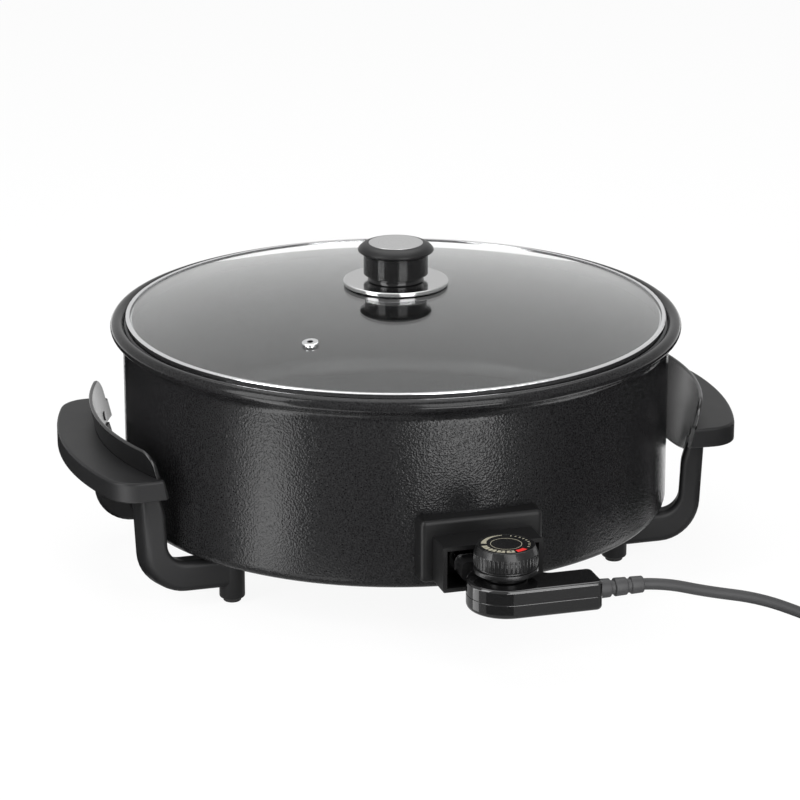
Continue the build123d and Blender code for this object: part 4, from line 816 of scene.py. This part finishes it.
def dial_shell():
    """Turned dial with ribs: the profile runs from the shaft's hole along the hub and out under the skirt,
    up the side and over the top into the seat of the printed face. Ribs add to the radius within their
    band. Above it the side is cut into flats: a flat's radius is that of its edges times the cosine of half
    its angle, over the cosine of the angle from its middle."""
    hub_foot = DIAL_FOOT + HUB_LIFT
    skirt_top = SKIRT_FOOT + SKIRT_HEIGHT
    wall = DIAL_RADIUS - RIB_HEIGHT
    groove = wall - GROOVE_DEPTH
    face = DIAL_TOP - FACE_SINK
    rows = [
        (SHAFT_RADIUS, hub_foot, 0),
        (HUB_RADIUS, hub_foot, 0.3),
        (HUB_RADIUS, SKIRT_FOOT, 0.5),
        (DIAL_RADIUS, SKIRT_FOOT, 0.5),
        (DIAL_RADIUS, skirt_top, 0.5),
        (groove, skirt_top + GROOVE_SLOPE, 0.2),
        (groove, RIB_FOOT, 0.2),
        (wall, RIB_FOOT, 0.2),
        (wall, RIB_FOOT + RIB_END, 0),
        (wall, RIB_TOP - RIB_END, 0),
        (wall, RIB_TOP, 0.3),
        (DIAL_TOP_RADIUS, DIAL_TOP, 1.2),
        (FACE_RADIUS, DIAL_TOP, 0.25),
        (FACE_RADIUS, face, 0),
        (SHAFT_RADIUS, face, 0),
    ]
    profile = edged(rows, steps=4)
    angle = full_turn(DIAL_RIBS * RIB_POINTS)
    ridge = np.clip(np.cos(DIAL_RIBS * angle) * RIB_STEEPNESS, 0, 1)[:, None]
    z = profile[:, 1]
    band = np.clip(np.minimum(z - RIB_FOOT, RIB_TOP - z) / RIB_FADE, 0, 1)
    flat_half = np.pi / FACETS
    from_middle = np.mod(angle, 2 * flat_half) - flat_half
    flat = (math.cos(flat_half) / np.cos(from_middle))[:, None]
    cut = np.clip((z - RIB_TOP) / FACET_FADE, 0, 1) * (profile[:, 0] > FACE_RADIUS + FACE_MARGIN)
    radius = (profile[:, 0] + RIB_HEIGHT * ridge * band) * (1 + cut * (flat - 1))
    return turned(radius, z, angle) + DIAL_AXIS


dial = [closed_turn(dial_shell())]
make_piece("dial_moulding", dial, dial_finish, "dial", ["dial_knob"])

# %% [markdown]
# ### Dial print
# The face carries a printed scale: a fine circle, a row of cream cells with plain numbers, one red cell
# where the heat is highest, and on the far side a cream wedge and a row of ticks. Each mark is a very
# thin plate, a small section carried along an arc. The numbers are text, made a mesh before it is put in
# place.

# %% Dial print
PRINT_LOW, PRINT_HIGH = DIAL_TOP - 0.05, DIAL_TOP + 0.05
MARK_INNER, MARK_OUTER = 13.4, 17.2
CELL_EDGES, CELL_GAP = [68, 92, 116, 140, 168], 2
RED_START, RED_STOP = 36, 64
WEDGE_INNER, WEDGE_OUTER, WEDGE_START, WEDGE_STOP, WEDGE_TAPER = 13.2, 17.0, 182, 262, 3.2
CIRCLE_INNER, CIRCLE_OUTER, CIRCLE_STOP = 10.4, 10.8, 359.9
TICK_INNER, TICK_OUTER, TICK_WIDTH = 15.0, 16.6, 3
TICK_STARTS = range(282, 390, 12)


def printed_arc(inner, outer, start, stop, taper=0.0, count=24):
    """Thin plate along an arc: a four-cornered section at each angle, from an inner to an outer radius that
    may narrow along the arc. Angles are in degrees from the camera's right, turning towards the camera."""
    turn = np.radians(np.linspace(start, stop, count))[:, None]
    narrow = np.linspace(0, taper, count)[:, None]
    radius = np.array([inner, outer, outer, inner]) + narrow * np.array([1, 0, 0, 1])
    z = np.broadcast_to([PRINT_LOW, PRINT_LOW, PRINT_HIGH, PRINT_HIGH], radius.shape)
    level = radius[..., None] * (np.cos(turn)[..., None] * right_hand - np.sin(turn)[..., None] * away)
    return stack(level + z[..., None] * upward + DIAL_AXIS)


cells = list(zip(CELL_EDGES, CELL_EDGES[1:]))
cream_marks = []
for start, stop in cells:
    cream_marks.append(printed_arc(MARK_INNER, MARK_OUTER, start + CELL_GAP, stop - CELL_GAP))
cream_marks.append(printed_arc(WEDGE_INNER, WEDGE_OUTER, WEDGE_START, WEDGE_STOP, WEDGE_TAPER))
cream_marks.append(printed_arc(CIRCLE_INNER, CIRCLE_OUTER, 0, CIRCLE_STOP, count=96))
cream_marks += [printed_arc(TICK_INNER, TICK_OUTER, start, start + TICK_WIDTH) for start in TICK_STARTS]
make_piece("dial_scale_print", cream_marks, print_finish, "dial")
red_mark = [printed_arc(MARK_INNER, MARK_OUTER, RED_START, RED_STOP)]
make_piece("dial_red_print", red_mark, red_finish, "dial")

# %% Dial numbers
NUMBER_SIZE, NUMBER_DEPTH, NUMBER_LIFT = 4.2, 0.03, 0.02


def dial_number(text, angle):
    """Number on a cream cell, its top towards the dial's middle."""
    words = bpy.data.curves.new(f"dial_number_{text}", "FONT")
    words.body = text
    words.size = NUMBER_SIZE * MM
    words.align_x = "CENTER"
    words.align_y = "CENTER"
    words.extrude = NUMBER_DEPTH * MM
    shape = new_object(words.name, words)
    bpy.context.view_layer.update()
    mesh = bpy.data.meshes.new_from_object(shape.evaluated_get(bpy.context.evaluated_depsgraph_get()))
    bpy.data.objects.remove(shape)
    turn = math.radians(angle)
    outward = math.cos(turn) * right_hand - math.sin(turn) * away
    middle = DIAL_AXIS + (PRINT_HIGH + NUMBER_LIFT) * upward + (MARK_INNER + MARK_OUTER) / 2 * outward
    places = np.empty(len(mesh.vertices) * 3)
    mesh.vertices.foreach_get("co", places)
    flat = places.reshape(-1, 3)
    across = np.cross(outward, upward)
    spots = flat[:, :1] * -across + flat[:, 1:2] * -outward + flat[:, 2:] * upward
    mesh.vertices.foreach_set("co", (spots + (middle + AXIS_SHIFT) * MM).ravel())
    mesh.materials.append(dial_finish)
    piece = new_object(words.name, mesh)
    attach(piece, "dial")


for index, (start, stop) in enumerate(cells):
    dial_number(str(len(cells) - index), (start + stop) / 2)

# %% [markdown]
# ### Strain relief and plug
# The strain relief is a row of thick beads with notches between them, so it bends with the cord. The plug
# is a round body with shallow flutes for the fingers. Both are turned: the relief about the cord's line,
# the plug about its own.

# %% Strain relief
relief_low, relief_high = spot("strain_relief")
RELIEF_BEADS, RELIEF_NOTCH, RELIEF_TUCK = 3, 2.4, 1.0
RELIEF_THICK, RELIEF_THIN, RELIEF_CORE, RELIEF_POINTS = 6.8, 5.8, 4.9, 40
BEAD_SLOPE, BEAD_ROUND, NOTCH_ROUND = 0.5, 0.9, 0.2


def relief_shell():
    """Profile of beads along the cord: the radius tapers from thick to thin, and drops to the core between
    beads; it is turned about the cord's line."""
    start, stop = TAIL_END - RELIEF_TUCK, relief_high[0]
    pitch = (stop - TAIL_END + RELIEF_NOTCH) / RELIEF_BEADS
    first = TAIL_END + pitch * np.arange(RELIEF_BEADS)
    last = first + pitch - RELIEF_NOTCH
    slope = (RELIEF_THICK - RELIEF_THIN) / (stop - TAIL_END)
    along = np.column_stack([first, first, last, last])
    radius = RELIEF_THICK - slope * (along - TAIL_END)
    radius[:, [0, 3]] = RELIEF_CORE
    along[:, 1:3] += np.array([BEAD_SLOPE, -BEAD_SLOPE])
    beads = np.column_stack([along.ravel(), radius.ravel()])
    corners = np.vstack([[(start, 0), (start, RELIEF_CORE)], beads, [(stop, 0)]])
    bead_radii = np.tile([NOTCH_ROUND, BEAD_ROUND, BEAD_ROUND, NOTCH_ROUND], RELIEF_BEADS)
    profile = rounded(corners, np.concatenate([[0, 0], bead_radii, [0]]), steps=4)
    rings = turned(profile[:, 1], profile[:, 0], full_turn(RELIEF_POINTS))
    middle = (relief_low + relief_high) / 2
    return rings[..., [2, 0, 1]] + np.array([0.0, middle[1], SPLIT])


relief = [closed_turn(relief_shell())]
make_piece("strain_relief_moulding", relief, cord_finish, "control", ["strain_relief"])

# %% Plug
plug_low, plug_high = spot("plug_body")
PLUG_RADIUS, PLUG_LENGTH = (plug_high[0] - plug_low[0]) / 2, plug_high[1] - plug_low[1]
BOOT_RADIUS, BOOT_WIDE, BOOT_LENGTH, CONE_END = 6.5, 11.0, 12.0, 23.0
BODY_START, BODY_STOP, BODY_ROWS = CONE_END + 1.5, PLUG_LENGTH - 4, 12
PLUG_FLUTES, FLUTE_DEPTH, FLUTE_POINTS = 16, 0.9, 10
FLUTE_START, FLUTE_START_RUN = 14, 6
FLUTE_STOP, FLUTE_STOP_RUN = PLUG_LENGTH - 12, 10


def plug_shell():
    """Turned plug: a boot, a cone and a round body. Flutes take a little off the radius along the cone and
    the near half of the body, and fade out towards the face."""
    rows = [
        (0, 0, 0),
        (BOOT_RADIUS, 0, 1.0),
        (BOOT_WIDE, BOOT_LENGTH, 4.0),
        (PLUG_RADIUS, CONE_END, 3.0),
        (PLUG_RADIUS, PLUG_LENGTH, 3.0),
        (0, PLUG_LENGTH, 0),
    ]
    profile = edged(rows)
    extra = np.linspace(BODY_START, BODY_STOP, BODY_ROWS)
    body = np.column_stack([np.full(BODY_ROWS, PLUG_RADIUS), extra])
    profile = np.insert(profile, np.searchsorted(profile[:, 1], extra), body, axis=0)
    angle = full_turn(PLUG_FLUTES * FLUTE_POINTS)
    flute = np.clip(np.cos(PLUG_FLUTES * angle), 0, 1)[:, None]
    along = profile[:, 1]
    share = np.clip((along - FLUTE_START) / FLUTE_START_RUN, 0, 1)
    share = share * np.clip((FLUTE_STOP - along) / FLUTE_STOP_RUN, 0, 1)
    rings = turned(profile[:, 0] - FLUTE_DEPTH * flute * share, along, angle)
    middle = (plug_low + plug_high) / 2
    return rings[..., [0, 2, 1]] + np.array([middle[0], plug_low[1], middle[2]])


plug_shells = [closed_turn(plug_shell())]
plug = make_piece("plug_moulding", plug_shells, cord_finish, "control", ["plug_body"])

# %% [markdown]
# ## The mains cord
# The lead leaves the control's strain relief, sinks to the worktop and runs out of the picture, where the
# spare length lies in a tied coil. A single NURBS curve follows the same points as the CAD tube, and the
# coil's turns are more points of that curve: half circles that step inwards, climb a layer and step out.

# %% Cord route
CORD_DIAMETER, CORD_STEPS = 8.0, 6
COIL_X, COIL_Y, COIL_RADIUS, COIL_PITCH, COIL_LOW = 288.0, -244.0, 48.0, 8.8, 5.8
COIL_HALF_TURNS, POINTS_A_HALF_TURN = 3, 8
PLUG_HEIGHT, PLUG_RISE_RUN = 18.8, 30.0
PLUG_RISE_SHARES = np.array([0.1, 0.4, 0.6, 1.0])
cord_route = [
    (92.5, -281, 61.5),
    (109, -281, 60.2),
    (139, -281.4, 51.0),
    (178, -282.8, 42.4),
    (212, -285.8, 27.5),
    (238, -289.5, 14.5),
    (260, -292, 5.8),
    (280, -292, 5.8),
]


def coil_points():
    """Control points of the coil: half circles from bottom to top and back, each half a pitch narrower or
    wider than the last, one of them climbing a layer, and a quarter circle that ends heading for the
    plug."""
    points = []
    start = COIL_Y - COIL_RADIUS
    height = COIL_LOW
    share = (np.arange(POINTS_A_HALF_TURN) + 0.5) / POINTS_A_HALF_TURN
    for index in range(2 * COIL_HALF_TURNS):
        radius = COIL_RADIUS - min(index, 2 * COIL_HALF_TURNS - index) * COIL_PITCH / 2
        rising = 1 if index % 2 == 0 else -1
        middle = start + rising * radius
        climb = COIL_PITCH if index == COIL_HALF_TURNS else 0.0
        x = COIL_X + rising * radius * np.sin(np.pi * share)
        y = middle - rising * radius * np.cos(np.pi * share)
        points.extend(zip(x, y, height + climb * share))
        start = start + rising * 2 * radius
        height = height + climb
    quarter = share[: POINTS_A_HALF_TURN // 2]
    x = COIL_X + COIL_RADIUS * np.sin(np.pi * quarter)
    y = start + COIL_RADIUS * (1 - np.cos(np.pi * quarter))
    points.extend(zip(x, y, np.full_like(x, height)))
    end_x = COIL_X + COIL_RADIUS
    end_y = start + COIL_RADIUS
    rise = PLUG_RISE_SHARES * PLUG_RISE_RUN
    lift = [height, height, PLUG_HEIGHT, PLUG_HEIGHT]
    points.extend(zip(np.full(len(rise), end_x), end_y + rise, lift))
    points.append((end_x, end_y + PLUG_RISE_RUN + CORD_DIAMETER, PLUG_HEIGHT))
    return points


def cord_curve(name, points):
    """Smooth open NURBS curve drawn by control points in millimetres from the pan's axis."""
    curve = bpy.data.curves.new(name, "CURVE")
    curve.dimensions = "3D"
    curve.bevel_depth = CORD_DIAMETER / 2 * MM
    curve.bevel_resolution = CORD_STEPS
    curve.resolution_u = CORD_STEPS
    curve.use_fill_caps = True
    spline = curve.splines.new("NURBS")
    spline.points.add(len(points) - 1)
    places = np.array(points) + AXIS_SHIFT
    spline.points.foreach_set("co", np.column_stack([places * MM, np.ones(len(places))]).ravel())
    spline.order_u = 3
    spline.use_endpoint_u = True
    return new_object(name, curve)


cord = cord_curve("mains_cord", cord_route + coil_points())
cord.data.materials.append(cord_finish)
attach(cord, "control")
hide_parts("power_cord", "cord_coil")

# %% [markdown]
# ## The stage
# The photo has a plain white ground. The floor keeps a soft shadow but shows nearly white to the camera,
# and the world behind it is white as well. Polished things see the near floor and the world dimmer and
# the far floor brighter, as a room is never evenly white all round.

# %% Floor
FLOOR_SIZE, FLOOR_GLOW = 12.0, 0.92
NEAR_ON_GLOSS, FAR_ON_GLOSS, FAR_DEPTH = 0.55, 1.5, 0.35


def seen_share(shader, on_gloss):
    """Socket that is 1 for camera and transmission rays, a share for glossy rays and 0 for the rest."""
    path = new_node(shader, "LightPath").outputs
    straight = math_on("MAXIMUM", path["Is Camera Ray"], path["Is Transmission Ray"])
    return math_on("MAXIMUM", straight, math_on("MULTIPLY", path["Is Glossy Ray"], on_gloss))


def floor_white():
    """Matt white mixed with a glow that only the camera, clear glass and polished things see."""
    material, shader = new_finish("white_floor", (0.86, 0.86, 0.86), 0.9)
    depth = new_node(shader, "VectorMath", {0: place_of(shader), 1: away.tolist()})
    depth.operation = "DOT_PRODUCT"
    on_gloss = spread(depth.outputs["Value"], NEAR_ON_GLOSS, FAR_ON_GLOSS, 0.0, FAR_DEPTH)
    glow = new_node(shader, "Emission", {"Strength": seen_share(shader, on_gloss)})
    share = math_on("MULTIPLY", seen_share(shader, 1.0), FLOOR_GLOW)
    blend = new_node(shader, "MixShader", {"Fac": share, 1: shader.outputs[0], 2: glow.outputs[0]})
    show(shader, blend.outputs[0])
    return material


half = FLOOR_SIZE / 2
floor_corners = [(-half, -half, 0), (half, -half, 0), (half, half, 0), (-half, half, 0)]
floor_mesh = bpy.data.meshes.new("floor")
floor_mesh.from_pydata(floor_corners, [], [(0, 1, 2, 3)])
floor_mesh.materials.append(floor_white())
floor = new_object("floor", floor_mesh)

# %% World
WORLD_ON_MATT, WORLD_ON_GLOSS = 0.45, 0.8
world = bpy.data.worlds.new("white_studio")
world.use_nodes = True
bpy.context.scene.world = world
background = world.node_tree.nodes["Background"]
strength = math_on("MAXIMUM", seen_share(background, WORLD_ON_GLOSS), WORLD_ON_MATT)
fill(background, {"Color": (1.0, 1.0, 1.0, 1.0), "Strength": strength})
print("world", world.name)

# %% [markdown]
# ## Lights
# Two upright softboxes stand left and right of the camera. Their long reflections run down the knob, the
# dial and the control. A wide box overhead lights the tops of the handles.

# %% Softboxes
def facing(angle):
    """Level direction from the pan's axis, at an angle from the camera's side."""
    return -np.cos(angle)[..., None] * away + np.sin(angle)[..., None] * right_hand


def softbox(name, turn, distance, height, wide, tall, power):
    """Area lamp at an angle from the camera's side of the pan, facing the pan's middle."""
    lamp = bpy.data.lights.new(name, "AREA")
    lamp.shape = "RECTANGLE"
    lamp.size = wide
    lamp.size_y = tall
    lamp.energy = power
    box = new_object(name, lamp)
    place = pan_axis + distance * facing(np.radians(turn)) + height * upward
    towards = pan_axis + AIM_HEIGHT * upward - place
    pitch = math.atan2(math.hypot(towards[0], towards[1]), -towards[2])
    box.location = place
    box.rotation_euler = (pitch, 0.0, math.atan2(-towards[0], towards[1]))
    box.visible_camera = False


softbox("left_softbox", -53, 1.5, 0.75, 0.7, 1.5, 26)
softbox("right_softbox", 26, 1.7, 0.8, 1.0, 1.5, 30)
softbox("top_softbox", 180, 0.35, 1.7, 1.6, 1.6, 22)

# %% [markdown]
# ### Cards on the table
# The upright wall mirrors the table in front of it, not the lamps. Sheets lie there that only reflections
# see, laid like a photographer's cards: glowing ones paint the reflections of the two long lights on the
# wall, and black ones paint its flanks dark. A point of the wall at an angle from the camera's side looks
# along twice that angle, so a card that shows on a stretch of wall is a fan of such lines. Small glowing
# cards paint highlights and dim reflections the same way for the control and near the right-hand leg.

# %% Cards
WALL_RADIUS, CARD_LIFT = 0.201, 0.001
CARD_COLUMNS, CARD_ROWS = 24, 4


def reflection_card(name, first, last, near, far, glow, axis=pan_axis, radius=WALL_RADIUS):
    """Glowing or black sheet that only reflections see, so it paints a reflection on the wall: the fan that
    a round wall mirrors between two angles, the wall's radius along the angle plus a distance along twice
    the angle, for a grid of angles and distances."""
    angles = np.radians(np.linspace(first, last, CARD_COLUMNS))
    angle, distance = np.meshgrid(angles, np.linspace(near, far, CARD_ROWS))
    grid = radius * facing(angle) + distance[..., None] * facing(2 * angle)
    places = grid.reshape(-1, 3) + axis + CARD_LIFT * upward
    mesh = bpy.data.meshes.new(name)
    mesh.from_pydata(places.tolist(), [], grid_faces(*angle.shape, round_columns=False).tolist())
    # Painted reflection: the sheet glows at its own strength, or is black at strength 0, and only glossy
    # rays see it.
    material, shader = new_finish(name, (0.0, 0.0, 0.0), 1.0)
    show(shader, new_node(shader, "Emission", {"Strength": glow}).outputs[0])
    mesh.materials.append(material)
    card = new_object(name, mesh)
    card.visible_camera = False
    card.visible_diffuse = False
    card.visible_transmission = False
    card.visible_shadow = False


# Glowing sheets paint the wall's two long highlights and black sheets paint its flanks dark, in reflections
# only.
reflection_card("left_glow_card", -32, -22, 0.05, 0.7, 9.0)
reflection_card("right_glow_card", 5, 21, 0.33, 0.75, 12.0)
reflection_card("left_black_card", -84, -40, 0.03, 0.9, 0.0)
reflection_card("right_black_card", 32, 71, 0.14, 0.9, 0.0)
reflection_card("right_far_black_card", 71, 84, 0.36, 0.9, 0.0)
reflection_card("right_leg_glow_card", 44, 60, 0.03, 0.13, 2.5)
dial_axis = (DIAL_AXIS + AXIS_SHIFT) * MM
reflection_card("control_dim_glow_card", -30, 11, 0.1, 0.26, 0.12, dial_axis, HOUSING_ROUND * MM)
reflection_card("control_glow_card", -56, -43, 0.1, 0.25, 3.0, dial_axis, HOUSING_ROUND * MM)

# %% [markdown]
# ## CAD nodes that stay
# Pieces whose CAD shape is right already, such as the casing, the lid and the inner parts, only need
# their finish.

# %% Finishes on CAD nodes
def dress(finish, *names):
    """Give CAD nodes a finish in place of the plain one they came with."""
    for name in names:
        mesh = nodes[name].data
        mesh.materials.clear()
        mesh.materials.append(finish)


dress(casing_finish, "outer_casing")
dress(coat_finish, "cooking_pan")
dress(sheath_finish, "heating_element", "element_clips")
dress(sheet_finish, "heat_reflector", "probe_guide")
dress(screw_finish, "center_stud", "stud_spacers", "center_nut", "shroud_screws", "leg_screws")
dress(screw_finish, "control_screws", "knob_screw", "knob_washer", "dial_shaft", "control_probe")
dress(polished_finish, "earth_strap", "lid_ring", "vent_eyelet")
dress(plate_finish, "knob_plate")
dress(spun_finish, "knob_insert")
dress(ceramic_finish, "terminal_bushes")
dress(brass_finish, "terminal_pins", "contact_sleeves", "plug_pins")
dress(foot_finish, "knob_gasket", *[f"foot_{end}_{side}" for end in ends for side in sides])
dress(shroud_finish, "connector_shroud", "coil_tie", "control_nose")
dress(glass_finish, "lid_glass")
dress(knob_finish, "knob_body")
dress(dial_finish, "dial_face")
dress(switch_finish, "thermostat_switch")
